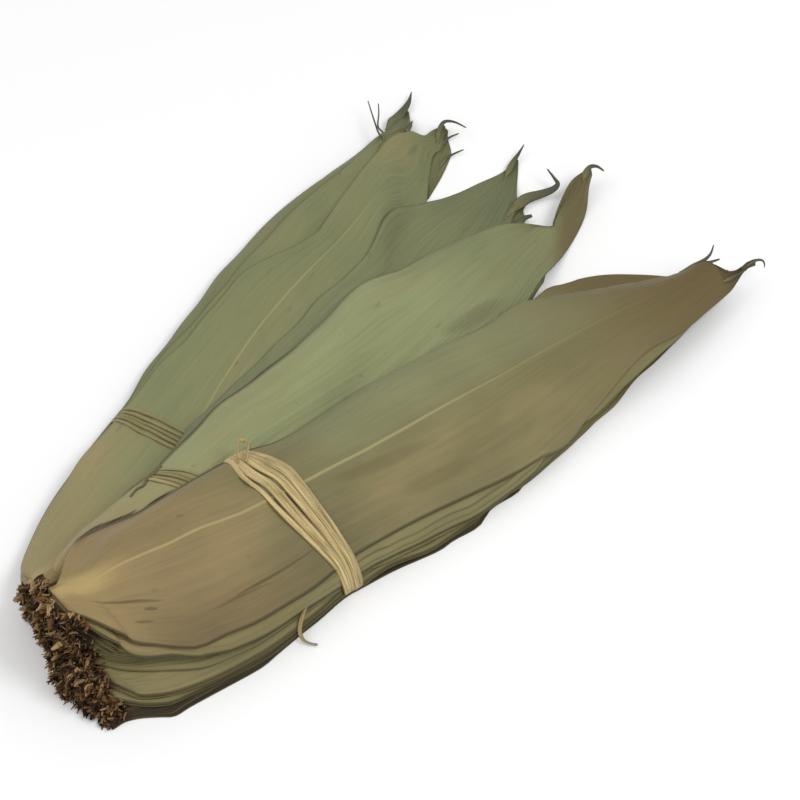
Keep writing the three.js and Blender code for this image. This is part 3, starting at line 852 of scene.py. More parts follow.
def margins(leaf, xs):
    """Left margin, right margin and midrib line of a leaf, seen from above."""
    mid = leaf.mid(xs)
    room = band(leaf.base + 4, leaf.base + 40, leaf.x1 - 60, leaf.x1 - 5, xs)
    wave = sizes().leaf.margin_wave / MM
    left = mid + leaf.half(xs, 1) + wave * sway(xs, leaf.seed + 3) * room
    right = mid - leaf.half(xs, -1) - wave * sway(xs, leaf.seed + 5) * room
    hand_name = leaf.hand["name"]
    if hand_name == "back":
        left = left + BACK_SWELL * band(4, 20, 125, 160, xs)
    first, last = bunch_of(leaf)
    if first < leaf.k:
        lead = ALL_LEAVES[ALL_LEAVES.index(leaf) - (leaf.k - first)]
        gap = 0 if leaf.k == last else BUNCH_GAP + BUNCH_STEP * (last - leaf.k)
        line = margins(lead, xs)[1] + gap
        right = lerp(right, line, band(leaf.x0, leaf.x0 + 8, 250, 320, xs))
    if not leaf.top:
        rows, *lines = LAID[leaf.highest]
        top_left, top_right = (np.interp(xs, rows, line) for line in lines)
    if hand_name == "front" and not leaf.top:
        inside = top_left - INSIDE_GAP - INSIDE_STEP * (leaf.over - 1)
        left = lerp(left, np.minimum(left, inside), band(95, 125, 285, 312, xs))
    reshape(leaf, left, leaf.shape.get("left"), xs)
    reshape(leaf, right, leaf.shape.get("right"), xs)
    right = np.where(xs < 60, np.minimum(right, mid - 2), right)
    reshape(leaf, mid, leaf.shape.get("rib"), xs)
    if hand_name == "middle" and not leaf.top:
        inside = top_right + TUCKED_GAP
        right = lerp(right, np.maximum(right, inside), smooth(255, 275, xs))
    if leaf.shape.get("tucked"):
        left = lerp(left, np.minimum(left, top_left - TUCKED_GAP), smooth(285, 310, xs))
        right = np.minimum(right, left - 1.5)
    middle = np.clip((mid - right) / (left - right), 0.12, 0.88)
    middle = lerp(middle, 0.5, smooth(leaf.x1 - 40, leaf.x1 - 8, xs))
    return left, right, lerp(right, left, middle)


def along_rows(support):
    """The support raised and evened along the leaf, never below itself."""
    p = np.pad(support, ((1, 1), (0, 0)), mode="edge")
    wide = np.max([p[:-2], p[1:-1], p[2:]], 0)
    p = np.pad(wide, ((1, 1), (0, 0)), mode="edge")
    return 0.25 * p[:-2] + 0.5 * p[1:-1] + 0.25 * p[2:]


def rest_on(support, z):
    """Lifts a surface off what lies below it, without a sharp step."""
    need = np.maximum(support - z, 0)
    soft = need.copy()
    for _ in range(3):
        p = np.pad(soft, 1, mode="edge")
        soft = (p[:-2, 1:-1] + p[2:, 1:-1] + p[1:-1, :-2] + p[1:-1, 2:] + 2 * soft) / 6
    return z + np.maximum(need, soft)


# Leaves that are lighter or darker than their hand; the others get a steady scatter
TONES = {
    "leaf_back_05": -2.2, "leaf_back_07": -1.6, "leaf_back_09": 0.8,
    "leaf_middle_04": -2.8, "leaf_middle_06": -2.4, "leaf_middle_09": 0.9,
    "leaf_front_02": 1.6, "leaf_front_03": 2.2, "leaf_front_04": 1.8, "leaf_front_05": 1.6,
    "leaf_front_06": 1.5, "leaf_front_07": 1.8, "leaf_front_08": 1.2, "leaf_front_13": 1.4,
    "leaf_front_14": 0,
}

# How dry the leaves of a hand are at the foot, at the tip and all along; how bronzed their tips
DRYNESS = {"back": (0.6, 0.2, 0.05), "middle": (0.7, 0.1, 0.05), "front": (0.85, 0.0, 0.1)}
BRONZED = {"back": 0.12, "middle": 0.2, "front": 0.5}

# Where leaves turn darker: how much, and the places between which it comes up; a first place
# that lies past the second makes the shade fade out along the leaf
SHADES = {
    "leaf_back_09": ((-0.14, 125, 60), (0.08, 150, 200)),
    "leaf_middle_06": ((0.1, 285, 325),),
    "leaf_middle_09": ((0.25, 245, 300), (-0.1, 318, 335), (-0.12, 130, 70)),
}
FRONT_SHADES = ((0.22, 352, 374), (0.22, 360, 374))

# Leaves whose midrib stands out less than usual
FAINT_RIB = {"leaf_middle_09": 0.25, "leaf_back_09": 0.7}

# Painted shade: on the lowest leaves, which lie in shadow down by the floor; along the right
# margins of some leaves, mostly their shadow with the margins' own dark edge; and on lines beside
# those margins where the blades are folded
UNDERSIDE_SHADE = {"leaf_front_01": 1, "leaf_front_02": 0.9, "leaf_front_03": 0.8}
RIGHT_MARGIN_SHADE = {
    "leaf_front_01": 1, "leaf_front_03": 0.9, "leaf_front_05": 0.9,
    "leaf_front_13": 0.9, "leaf_front_14": 0.9,
}
SHADED_FOLDS = {"leaf_front_03": 0.5, "leaf_front_05": 0.5, "leaf_front_13": 1}

# Lines where a blade is folded, darkened as painted shade: distance from the right margin and
# strength
SHADED_FOLD_LINES = ((3.4, 0.55), (7.6, 0.7))

# Dark left margins, painted shadow where one hand's margin lies over another, with the margin's own
# dark
# edge: the band of places that they run along, and their width
LEFT_MARGIN_SHADE = {
    "leaf_middle_07": (60, 75, 150, 250, 2.4), "leaf_middle_08": (60, 75, 150, 250, 3.4),
    "leaf_middle_09": (60, 75, 150, 250, 2.8), "leaf_front_14": (30, 38, 118, 150, 4.0),
}

# Marks on the highest leaf of each hand: their ends, half width and strength. Those of the middle
# hand are painted shadow beside the front hand's margin; the others are stains and creases, the
# creases darkened as painted shade. A mark that is stronger than the limit below takes the margin
# shadow colour
SHADOW_MARK = 0.95
MARKS = {
    "back": (
        ((268, 132), (282, 134), 1.2, 0.5),
        ((318, 124), (330, 127), 1.6, 0.3),
    ),
    "middle": (
        # painted shadow beside the front hand's left margin
        ((35, 38.2), (68, 29.2), 2.1, 1.0),
        ((63, 30.4), (108, 24.2), 1.8, 1.0),
        ((236, 24), (286, 21), 5.5, 0.35),
    ),
    "front": (
        ((12, 4), (44, -15), 0.8, 0.75),
        ((31, -10.5), (37, -14), 0.9, 0.7),
        ((24, -11.5), (33, -16.5), 0.8, 0.6),
        ((56, -26), (112, -31), 0.9, 0.9),
        ((48, -24.5), (88, -31), 0.8, 0.6),
        ((66, 8), (71, 6), 0.9, 0.5),
        ((226, 7), (262, 6), 0.9, 0.5),
        ((127, -15), (190, -26.5), 3.6, 0.34),
        ((150, -33), (204, -43), 4.2, 0.3),
    ),
}


class Sheet:
    """The points of one leaf, seen from above, as a grid along and across it."""

    def __init__(self, leaf):
        self.leaf, self.size = leaf, sizes().leaf
        self.xs, v = rows_of(leaf), columns()
        self.left, self.right, mid = margins(leaf, self.xs)
        widths = np.where(v > 0, (self.left - mid)[:, None], (mid - self.right)[:, None])
        self.x = np.repeat(self.xs[:, None], len(v), 1)
        self.y = mid[:, None] + v * widths
        self.across = self.y - mid[:, None]
        self.q = (self.x - leaf.x0) / (leaf.x1 - leaf.x0)
        self.share = np.broadcast_to(v, self.x.shape)
        self.blade = smooth(leaf.base + 4, leaf.base + 35, self.x)
        self.opened = smooth(leaf.base - 2, leaf.base + 18, self.x)
        self.from_right = self.y - self.right[:, None]
        self.from_left = self.left[:, None] - self.y

    def waved(self, z):
        """Adds the long pleats of the blade and the ripple of its margins."""
        leaf, x, share = self.leaf, self.x, self.share
        tied = np.exp(-(((x - leaf.hand["tie"]) / TIED_REACH) ** 2))
        bends = PLEATS * share + 0.5 * sway(x, leaf.seed + 1, (120, 210)) + scatter(leaf.seed)
        pleat = np.sin(2 * math.pi * bends) * self.blade * (1 - share**4) * (1 - 0.5 * tied)
        z = z + self.size.pleat_depth / MM * pleat
        for side in (-1, 1):
            margin = np.maximum(side * share, 0) ** 3 * self.blade * (1 - tied)
            ripple = margin * (0.5 + smooth(150, 290, x)) * sway(x, leaf.seed + side, (37, 61, 90))
            z = z + self.size.margin_ripple / MM * ripple
        return z

    def drooped(self, z, support):
        """Lets the margins hang; those of the front hand sink onto what lies below."""
        leaf, x = self.leaf, self.x
        droop = self.size.margin_droop / MM * self.opened
        z = z - droop * (1 - smooth(0, DROOP_WIDTH, self.from_right))
        if leaf.hand["name"] != "front":
            return z - 0.25 * droop * (1 - smooth(0, DROOP_WIDTH, self.from_left))
        far = 1 - smooth(250, 310, x)
        foot = smooth(leaf.x0 + 1, leaf.x0 + 9, x)
        sides = ((self.from_left, LEFT_SINK, self.opened), (self.from_right, RIGHT_SINK, foot))
        for inside, reach, held in sides:
            low = np.maximum(support, z - SINK_PER_LEAF * leaf.k)
            z = lerp(z, np.minimum(z, low), (1 - smooth(0, reach, inside)) * held * far)
        return z

    def underside(self, index):
        """Heights of the leaf's underside on the heap."""
        leaf, x = self.leaf, self.x
        z = lay_height(ALL_LEAVES, index, x, self.y) + source_lift(leaf, index)(self.q, self.share)
        support = along_rows(heap.read(heap.grown(), x, self.y) + AIR)
        z = self.drooped(self.waved(z), support)
        arch = (1 - self.share**2) * smooth(leaf.x1 - 55, leaf.x1 - 15, x)
        z = z + leaf.shape.get("roll", 0) * arch
        z = z + leaf.shape.get("raised", 0) * smooth(leaf.x1 - 60, leaf.x1, x)
        return np.maximum(rest_on(support, z), LEAF_OFF_FLOOR)

    def thickness(self):
        """Thickness of the blade and its round stalk, with the midrib on it."""
        leaf, size = self.leaf, self.size
        stalk = 1 - smooth(leaf.base - 3, leaf.base + 12, self.x)
        body = lerp(size.blade_thickness, size.stalk_thickness, stalk) / MM
        rounded = 0.3 + 0.7 * np.sqrt(np.maximum(1 - self.share**2, 0))
        body = body * lerp(1, rounded, 1 - smooth(leaf.base - 2, leaf.base + 10, self.x))
        rib = FAINT_RIB.get(leaf.name, 1.0) * size.midrib_height / MM
        rib = rib * np.exp(-((self.across / 0.8) ** 2)) * (1 - smooth(0.45, 0.95, self.q))
        return body + rib * self.blade

    def drying(self):
        """How dry, how bronzed, how much darker and how much greener the leaf is."""
        leaf, x = self.leaf, self.x
        hand_name = leaf.hand["name"]
        end, start = smooth(leaf.x1 - 110, leaf.x1 - 4, x), 1 - smooth(25, 170, x)
        at_start, at_end, always = DRYNESS[hand_name]
        if hand_name == "front" and not leaf.top:
            at_start = 0.5 if leaf.k > 10 else 0.3
        dry = at_start * start + at_end * end + always
        bronze = BRONZED[hand_name] * end
        dim = sum((much * smooth(a, b, x) for much, a, b in SHADES.get(leaf.name, ())), 0 * x)
        young = 0 * x
        if leaf.name == "leaf_middle_09":
            bronze = bronze + 0.55 * smooth(284, 302, x - self.y)
        if hand_name == "front":
            bronze = bronze + 0.5 * smooth(190, 320, x)
            dim = dim + sum(much * smooth(a, b, x) for much, a, b in FRONT_SHADES)
        if leaf.name == "leaf_front_13":
            bronze = 0.35 * bronze
        if leaf.name == "leaf_front_14":
            # painted shade on the hanging right side of the highest front leaf, which turns away
            # from the light
            hanging = self.opened * (1 - smooth(2, 26, self.from_right))
            dim = dim + 0.3 * hanging * (1 - smooth(100, 180, x))
            centre = band(118, 150, 290, 335, x)
            young = 0.75 * centre * smooth(-5, 9, self.across)
            dry = dry + 0.3 * centre * smooth(3, 14, -self.across)
        return {"dry": dry, "bronze": bronze, "dim": dim, "young": young}

    def stains(self, left_mm):
        """Cut stalk end, and painted shade: along the margins, on lines where the blade is folded,
        and on the lowest leaves.
        """
        leaf, x = self.leaf, self.x
        lowest = leaf.k == 0
        stub = 1 - smooth(leaf.base - 9, leaf.base + 1 + 3 * scatter(leaf.seed + 40), x)
        if leaf.over < 3:
            stub = 1 - smooth(leaf.x0 + 1, leaf.x0 + 4, x)
        if leaf.name == "leaf_front_14":
            stub = 0 * x
        # painted shadow along a left margin that lies over another hand
        margin_shadow = 0 * x
        if leaf.name in LEFT_MARGIN_SHADE:
            *places, wide = LEFT_MARGIN_SHADE[leaf.name]
            margin_shadow = (1 - smooth(0.4 * wide, wide, left_mm)) * band(*places, x)
        # painted shadow along the right margin, with the margin's own dark edge
        reach = (290, 340) if lowest else (200, 260)
        right_margin_shade = RIGHT_MARGIN_SHADE.get(leaf.name, 0) * (1 - smooth(*reach, x))
        # painted shade on lines where the blade is folded
        shaded_folds = SHADED_FOLDS.get(leaf.name, 0) * (0.35 + 0.65 * smooth(100, 125, x))
        shaded_folds = shaded_folds * (1 - smooth(240, 290, x))
        # painted shade on the lowest front leaves, in shadow by the floor and the stalks
        underside_shade = 1 - smooth(290, 340, x) if lowest else band(22, 40, 65, 125, x)
        return {
            "stub": stub, "margin_shadow": margin_shadow, "right_margin_shade": right_margin_shade, "shaded_folds": shaded_folds,
            "underside_shade": UNDERSIDE_SHADE.get(leaf.name, 0) * underside_shade,
        }

    def petiole(self):
        """How straw-coloured the foot of the leaf is."""
        leaf = self.leaf
        strength = 0.25
        if leaf.top:
            strength = 1.0
        elif leaf.over < 3 and leaf.hand["name"] != "front":
            strength = 0.55
        foot = 1 - smooth(leaf.base - 2, leaf.base + 26, self.x)
        return foot * (1 - 0.8 * smooth(2, 7, np.abs(self.across))) * strength

    def facts(self, z):
        """What the leaf's material reads at each point."""
        leaf, x = self.leaf, self.x
        steps = (np.diff(line, axis=1, prepend=line[:, :1]) for line in (self.y, z))
        right_mm = np.cumsum(np.hypot(*steps), axis=1)
        left_mm = right_mm[:, -1:] - right_mm
        rib = FAINT_RIB.get(leaf.name, 1.0) * (1 - smooth(0.55, 0.92, self.q))
        if leaf.name == "leaf_front_14":
            rib = rib * (1 - 0.62 * smooth(165, 245, x))
        tone = TONES.get(leaf.name, 0.7 * scatter(leaf.seed + 60))
        return {
            "along_mm": x, "across_mm": self.across, "plan_mm": self.y, "share": self.share,
            "right_mm": right_mm, "edge_mm": np.minimum(left_mm, right_mm), "rib": rib,
            "tone": np.full_like(x, tone), "top": np.full_like(x, leaf.top),
            "petiole": self.petiole(), **self.drying(), **self.stains(left_mm),
        }


def lay_leaf(index, material):
    """Builds one leaf on the heap and keeps its heights and margins there."""
    leaf = ALL_LEAVES[index]
    sheet = Sheet(leaf)
    low = sheet.underside(index)
    high = low + sheet.thickness()
    heap.lay(sheet.x, sheet.y, low, high)
    LAID[leaf.name] = (sheet.xs, sheet.left, sheet.right)
    facts = {key: np.tile(fact.ravel(), 2) for key, fact in sheet.facts(low).items()}
    points = np.concatenate(
        [np.stack([sheet.x, sheet.y, z], -1).reshape(-1, 3) for z in (low, high)]
    )
    hand_name = leaf.hand["name"]
    add_piece(
        f"dried_leaf_{hand_name}_{leaf.k + 1:02d}", points, slab_faces(*sheet.x.shape), facts,
        material, (leaf.name,),
    )


def lay_hand(hand_index):
    """Lays the leaves of one hand from the lowest to the highest."""
    hand = HANDS[hand_index]
    heap.start_hand()
    material = leaf_material(hand["name"])
    start = sum(h["count"] for h in HANDS[:hand_index])
    highest = ALL_LEAVES[start + hand["count"] - 1]
    rows = rows_of(highest)
    LAID[highest.name] = (rows, *margins(highest, rows)[:2])
    for k in range(hand["count"]):
        lay_leaf(start + k, material)


# Fibres that follow a path, made by geometry nodes

# The three shapes of a broken fibre: share of its length that it bends, and its width
FIBRE_SHAPES = ((0.1, 1.0), (-0.16, 1.5), (0.05, 0.75))
HALF_TURN = 3.14


def new_tree(name, given):
    """An empty geometry tree with named inputs; returns its net and the wire of its inputs."""
    tree = bpy.data.node_groups.new(name, "GeometryNodeTree")
    for key, kind in given:
        tree.interface.new_socket(key, in_out="INPUT", socket_type=kind)
    tree.interface.new_socket("Result", in_out="OUTPUT", socket_type="NodeSocketGeometry")
    net = Net(tree)
    return net, net.add("NodeGroupInput")


def end_tree(net, geometry, material):
    """Ends a geometry tree with real, coloured geometry."""
    whole = net.add("GeometryNodeRealizeInstances", None, {"Geometry": geometry})
    coloured = net.add("GeometryNodeSetMaterial", None, {"Geometry": whole, "Material": material})
    net.add("NodeGroupOutput", None, {"Result": coloured})
    return net.tree


def carried(net, name, kind="FLOAT_VECTOR"):
    """A number or direction that the points of a geometry tree carry."""
    return net.add("GeometryNodeInputNamedAttribute", {"data_type": kind}, {"Name": name})


def flat_ring(net, corners, flatness):
    """Cross section of a fibre."""
    ring = {"Resolution": corners, "Radius": 1.0}
    circle = net.add("GeometryNodeCurvePrimitiveCircle", None, ring)
    flat = net.add("ShaderNodeCombineXYZ", None, {"X": 1.0, "Y": flatness, "Z": 1.0})
    return net.add("GeometryNodeTransform", None, {"Geometry": circle, "Scale": flat})


def strand_tree():
    """Sweeps a flat fibre along each path; a path carries its half width and its side."""
    given = (
        ("Path", "NodeSocketGeometry"), ("Flatness", "NodeSocketFloat"),
        ("Corners", "NodeSocketInt"), ("Material", "NodeSocketMaterial"),
    )
    net, inputs = new_tree("split_strand", given)
    curve = net.add("GeometryNodeMeshToCurve", None, {"Mesh": inputs.out("Path")})
    sockets = {"Curve": curve, "Normal": carried(net, "side")}
    turned = net.add("GeometryNodeSetCurveNormal", {"mode": "FREE"}, sockets)
    profile = flat_ring(net, inputs.out("Corners"), inputs.out("Flatness"))
    place = net.add("GeometryNodeSplineParameter", out="Factor")
    marked = net.add(
        "GeometryNodeStoreNamedAttribute",
        {"data_type": "FLOAT", "domain": "POINT"},
        {"Geometry": profile, "Name": "around", "Value": place},
    )
    reach = carried(net, "reach", "FLOAT")
    sockets = {"Curve": turned, "Profile Curve": marked, "Scale": reach, "Fill Caps": True}
    swept = net.add("GeometryNodeCurveToMesh", None, sockets)
    sockets = {"Geometry": swept, "Shade Smooth": True}
    rounded = net.add("GeometryNodeSetShadeSmooth", None, sockets)
    return end_tree(net, rounded, inputs.out("Material"))


def fibre_shape(net, length, radius, bend, wide):
    """One short bent fibre that thins toward its end, as an instance."""
    sockets = {"X": length * bend, "Y": length * -0.4 * bend, "Z": length * 0.55}
    middle = net.add("ShaderNodeCombineXYZ", None, sockets)
    sockets = {"X": length * -0.6 * bend, "Y": length * bend, "Z": length}
    end = net.add("ShaderNodeCombineXYZ", None, sockets)
    sockets = {"Resolution": 4, "Start": (0, 0, 0), "Middle": middle, "End": end}
    path = net.add("GeometryNodeCurveQuadraticBezier", None, sockets)
    taper = 1.0 - net.add("GeometryNodeSplineParameter", out="Factor") * 0.62
    sockets = {
        "Curve": path, "Profile Curve": flat_ring(net, 4, 0.55),
        "Scale": taper * radius * wide, "Fill Caps": True,
    }
    swept = net.add("GeometryNodeCurveToMesh", None, sockets)
    return net.add("GeometryNodeGeometryToInstance", None, {"Geometry": swept})


def fibre_tree():
    """Stands a short bent fibre on each point, along its aim, with a steady scatter."""
    given = (
        ("Roots", "NodeSocketGeometry"), ("Length", "NodeSocketFloat"),
        ("Radius", "NodeSocketFloat"), ("Splay", "NodeSocketFloat"),
        ("Seed", "NodeSocketInt"), ("Material", "NodeSocketMaterial"),
    )
    net, inputs = new_tree("broken_fibres", given)
    length, radius, seed = inputs.out("Length"), inputs.out("Radius"), inputs.out("Seed")
    shapes = net.add("GeometryNodeJoinGeometry")
    for bend, wide in FIBRE_SHAPES:
        shape = fibre_shape(net, length, radius, bend, wide)
        net.tree.links.new(shape.socket, shapes.socket.node.inputs["Geometry"])
    vector = {"data_type": "FLOAT_VECTOR"}
    sockets = {"Min": (-1, -1, -1), "Max": (1, 1, 1), "Seed": seed}
    stray = net.add("FunctionNodeRandomValue", vector, sockets)
    sockets = {"Vector": stray, "Scale": inputs.out("Splay")}
    stray = net.add("ShaderNodeVectorMath", {"operation": "SCALE"}, sockets)
    sockets = {0: carried(net, "aim"), 1: stray}
    toward = net.add("ShaderNodeVectorMath", {"operation": "ADD"}, sockets)
    turn = net.add("FunctionNodeAlignRotationToVector", {"axis": "Z"}, {"Vector": toward})
    sockets = {"Min": (0, 0, -HALF_TURN), "Max": (0, 0, HALF_TURN), "Seed": seed + 1.0}
    spin = net.add("FunctionNodeRandomValue", vector, sockets)
    spin = net.add("FunctionNodeEulerToRotation", None, {"Euler": spin})
    sockets = {"Rotation": turn, "Rotate By": spin}
    turn = net.add("FunctionNodeRotateRotation", {"rotation_space": "LOCAL"}, sockets)
    points = net.add("GeometryNodeMeshToPoints", None, {"Mesh": inputs.out("Roots")})
    sockets = {
        "Points": points, "Instance": shapes, "Pick Instance": True,
        "Rotation": turn, "Scale": carried(net, "size", "FLOAT"),
    }
    stood = net.add("GeometryNodeInstanceOnPoints", None, sockets)
    return end_tree(net, stood, inputs.out("Material"))


def run_tree(name, tree, values, points, edges, facts, nodes=()):
    """Runs a geometry tree on millimetre points and keeps the result as a plain piece."""
    mesh = bpy.data.meshes.new(name + "_carrier")
    mesh.from_pydata(((np.asarray(points, float) + SHIFT) * MM).tolist(), edges, [])
    for key, fact in facts.items():
        fact = np.asarray(fact, np.float32)
        kind, field = ("FLOAT", "value") if fact.ndim == 1 else ("FLOAT_VECTOR", "vector")
        mesh.attributes.new(key, kind, "POINT").data.foreach_set(field, fact.ravel())
    carrier = bpy.data.objects.new(name + "_carrier", mesh)
    bpy.context.scene.collection.objects.link(carrier)
    modifier = carrier.modifiers.new("build", "NODES")
    modifier.node_group = tree
    for item in tree.interface.items_tree:
        if item.item_type == "SOCKET" and item.in_out == "INPUT" and item.name in values:
            modifier[item.identifier] = values[item.name]
    bpy.context.view_layer.update()
    graph = bpy.context.evaluated_depsgraph_get()
    made = bpy.data.meshes.new_from_object(carrier.evaluated_get(graph), depsgraph=graph)
    bpy.data.objects.remove(carrier)
    if not len(made.polygons):
        raise RuntimeError(f"{name} came out empty")
    made.name = name
    co = np.empty(len(made.vertices) * 3, np.float32)
    made.vertices.foreach_get("co", co)
    co[2::3] = np.maximum(co[2::3], STRAND_OFF_FLOOR * MM)
    made.vertices.foreach_set("co", co)
    finish_piece(name, made, nodes)


def unit(v):
    """Directions of length one."""
    return v / np.maximum(np.linalg.norm(v, axis=-1, keepdims=True), 1e-9)


def sides_of(points, toward, closed=False):
    """Directions across a strand, near to the one asked for and square to its path."""
    if closed:
        along = unit(np.roll(points, -1, 0) - np.roll(points, 1, 0))
    else:
        along = unit(np.gradient(points, axis=0))
    toward = np.broadcast_to(np.asarray(toward, float), points.shape)
    return unit(toward - (toward * along).sum(1, keepdims=True) * along)


def through(points, count=28):
    """A smooth path through a few points."""
    p = np.asarray(points, float)
    p = np.vstack([2 * p[0] - p[1], p, 2 * p[-1] - p[-2]])
    place = np.linspace(0, len(p) - 3 - 1e-9, count)
    i, t = place.astype(int), (place % 1)[:, None]
    a, b, c, d = p[i], p[i + 1], p[i + 2], p[i + 3]
    bend = (2 * a - 5 * b + 4 * c - d) * t**2 + (3 * b - a - 3 * c + d) * t**3
    return 0.5 * (2 * b + (c - a) * t + bend)


def sweep(name, strands, flatness, corners, material, nodes=()):
    """Makes one piece from several strands, each a dict of its path and facts."""
    points, edges = [], []
    facts = {"side": [], "reach": [], "along_mm": [], "tone": [], "dry": []}
    for strand in strands:
        path = strand["path"]
        n, start = len(path), sum(map(len, points))
        points.append(path)
        edges += [(start + i, start + i + 1) for i in range(n - 1)]
        if strand.get("closed"):
            edges.append((start + n - 1, start))
        gone = np.concatenate([[0], np.cumsum(np.linalg.norm(np.diff(path, axis=0), axis=1))])
        facts["side"].append(strand["side"])
        facts["reach"].append(np.asarray(strand["reach"]) * np.ones(n) * MM)
        facts["along_mm"].append(gone)
        facts["tone"].append(strand.get("tone", 0) * np.ones(n))
        facts["dry"].append(strand.get("dry", 0) * np.ones(n))
    facts = {key: np.concatenate(f) for key, f in facts.items()}
    values = {"Flatness": flatness, "Corners": corners, "Material": material}
    run_tree(name, strand_tree(), values, np.concatenate(points), edges, facts, nodes)


# Ties


def hand_edge(hand_index, x, side):
    """Outermost margin of a laid hand at a place along it."""
    found = []
    for leaf in ALL_LEAVES:
        if leaf.hand_index == hand_index:
            xs, left, right = LAID[leaf.name]
            found.append(np.interp(x, xs, left if side > 0 else right))
    return np.max(found, 0) if side > 0 else np.min(found, 0)


def upper_hull(y, z):
    """Heights of a line pulled taut over a row of points."""
    keep = []
    for i in range(len(y)):
        while len(keep) > 1:
            a, b = keep[-2], keep[-1]
            if (z[b] - z[a]) * (y[i] - y[a]) > (z[i] - z[a]) * (y[b] - y[a]):
                break
            keep.pop()
        keep.append(i)
    return np.interp(y, y[keep], z[keep])


# Ties, one for each hand: its strands, how wide they spread on top and at the sides of the hand,
# how taut they are, how far they stray, and the tint of the first strand and its change to the next
TIES = (
    dict(strands=5, top=13, side=7.5, taut=0.4, aside=0, stray=0.5, tone=-1.6, change=0),
    dict(strands=5, top=11, side=7.5, taut=0.4, aside=0, stray=0.5, tone=-1.6, change=0),
    # the front tie steps from lighter strands toward the stalks, a painted highlight, to darker,
    # greener ones
    dict(strands=8, top=19, side=8, taut=1.0, aside=0.1, stray=1.2, tone=1.2, change=-0.26),
)

# How far a strand stands off: beside the hand, over it and under it
OFF_SIDE = 0.25
OFF_TOP = 0.22
OFF_UNDER = 0.45

# Half width and half height of a laid strand, as what lies on it feels them
LAID_HALF = 1
LAID_RISE = 0.3


def ring(hand_index, offset, taut, lift):
    """Closed path of one strand round a hand; offset gives its place along the leaves."""
    hand = HANDS[hand_index]
    ends = []
    for side in (-1, 1):
        x = hand["tie"]
        for _ in range(6):
            x = tie_x(hand, hand_edge(hand_index, x, side))
        ends.append(x)
    v = np.linspace(0, 1, 60)
    sections = []
    for upper in (True, False):
        x = lerp(ends[0], ends[1], v) + offset(v, upper)
        right = hand_edge(hand_index, x, -1) - OFF_SIDE
        left = hand_edge(hand_index, x, 1) + OFF_SIDE
        y = lerp(right, left, v)
        inside = np.clip(y, right + 0.9, left - 0.9)
        if upper:
            z = heap.read(heap.top, x, inside)
            z = lerp(z, upper_hull(y, z), taut) + OFF_TOP + lift(v)
        else:
            low = np.where(np.isfinite(heap.under), heap.under, 1e3)
            z = np.minimum(heap.read(low, x, inside), heap.read(heap.top, x, inside) - 2)
            z = np.maximum(z - OFF_UNDER, heap.read(heap.before, x, y) + 0.3)
        sections.append(np.stack([x, y, z], 1))
    path = np.vstack([sections[0], sections[1][::-1]])
    for _ in range(4):
        path = 0.25 * np.roll(path, 1, 0) + 0.5 * path + 0.25 * np.roll(path, -1, 0)
    return path


def tie_strand(hand_index, n, half):
    """One turn of a tie: its path, half width and tint."""
    tie, seed = TIES[hand_index], hand_index * 31 + n * 7
    place = (n + 0.5) / tie["strands"] - 0.5 - tie["aside"]

    def offset(v, upper):
        width = tie["side"] * np.ones_like(v)
        if upper:
            spread = smooth(-0.15, 0.62, v) * (1 - 0.85 * smooth(0.72, 1, v))
            width = lerp(tie["side"], tie["top"], spread)
        stray = tie["stray"] * scatter(seed) * np.sin(math.pi * v)
        return width * place + stray + 0.35 * sway(v * 60, seed + 2)

    def lift(v):
        crowd = 1 - smooth(0.2, 0.75, v)
        return (0.34 * (n % 2) + 0.12 * n / tie["strands"]) * crowd + 0.1 * (n % 3)

    path = ring(hand_index, offset, tie["taut"], lift)
    turn = 3 * np.linspace(0, 1, len(path), endpoint=False) + scatter(seed + 4)
    reach = half * (1 + 0.16 * scatter(seed + 3) + 0.12 * np.sin(2 * math.pi * turn))
    return dict(
        path=path, side=sides_of(path, (1, 0, 0), True), reach=reach, closed=True,
        tone=0.7 * scatter(seed + 5) + tie["tone"] + tie["change"] * n,
    )


# Loose end of the front tie from the tie outward, as in the source, and the loop on its top
TAIL = (
    (97.5, -38.5, 8.6), (92.5, -41.2, 8), (88, -43.4, 6.4), (84.8, -45.6, 4.2),
    (83.4, -48.6, 2.4), (84.2, -51.2, 1.5), (86.6, -54.4, 1.0),
)
LOOP = (
    (108, 15, 41.5), (111, 19, 43.5), (115.5, 22.5, 44.5),
    (118, 20, 44.2), (115, 16.5, 42.6), (111, 13.5, 41.9),
)

# Dark end of the middle tie, seen from above; its very dark tint is painted shadow at the knot
DARK_END = ((91, 46.6), (85.6, 44.2), (81.3, 43.9), (77, 41.2), (73.2, 41.6), (68.6, 39.8))


def front_extras():
    """Loose end and small loop of the front tie."""
    tail, loop = through(TAIL, 40), through(LOOP, 30)
    t = np.linspace(0, 1, len(tail))
    reach = 1.2 * lerp(0.1, 1, smooth(0, 0.3, t)) - 0.2 * smooth(0.5, 1, t)
    return [
        dict(
            path=tail, side=sides_of(tail, (0.3, -0.9, 0.5)), reach=reach,
            tone=0.2, dry=smooth(0.6, 0.95, t),
        ),
        dict(path=loop, side=sides_of(loop, (0.2, 0.3, 1)), reach=1.1, tone=1.5),
    ]


def middle_extra():
    """Short end of the middle tie, lying on the back hand, tinted very dark as painted shadow at
    the knot.
    """
    end = through(DARK_END, 24)
    path = np.column_stack([end, heap.read(heap.top, end[:, 0], end[:, 1]) + 0.5])
    t = np.linspace(0, 1, len(path))
    return dict(path=path, side=sides_of(path, (0.2, 1, 0)), reach=1.1 - 0.7 * t, tone=-4.5)


def lay_strand(path):
    """Adds a strand to the heap, so that what follows lies on it."""
    x, y, z = (np.stack([path[:, axis]] * 3, 1) for axis in range(3))
    x = x + np.array([-LAID_HALF, 0, LAID_HALF])
    heap.lay(x, y, z - LAID_RISE, z + LAID_RISE, fine=3)


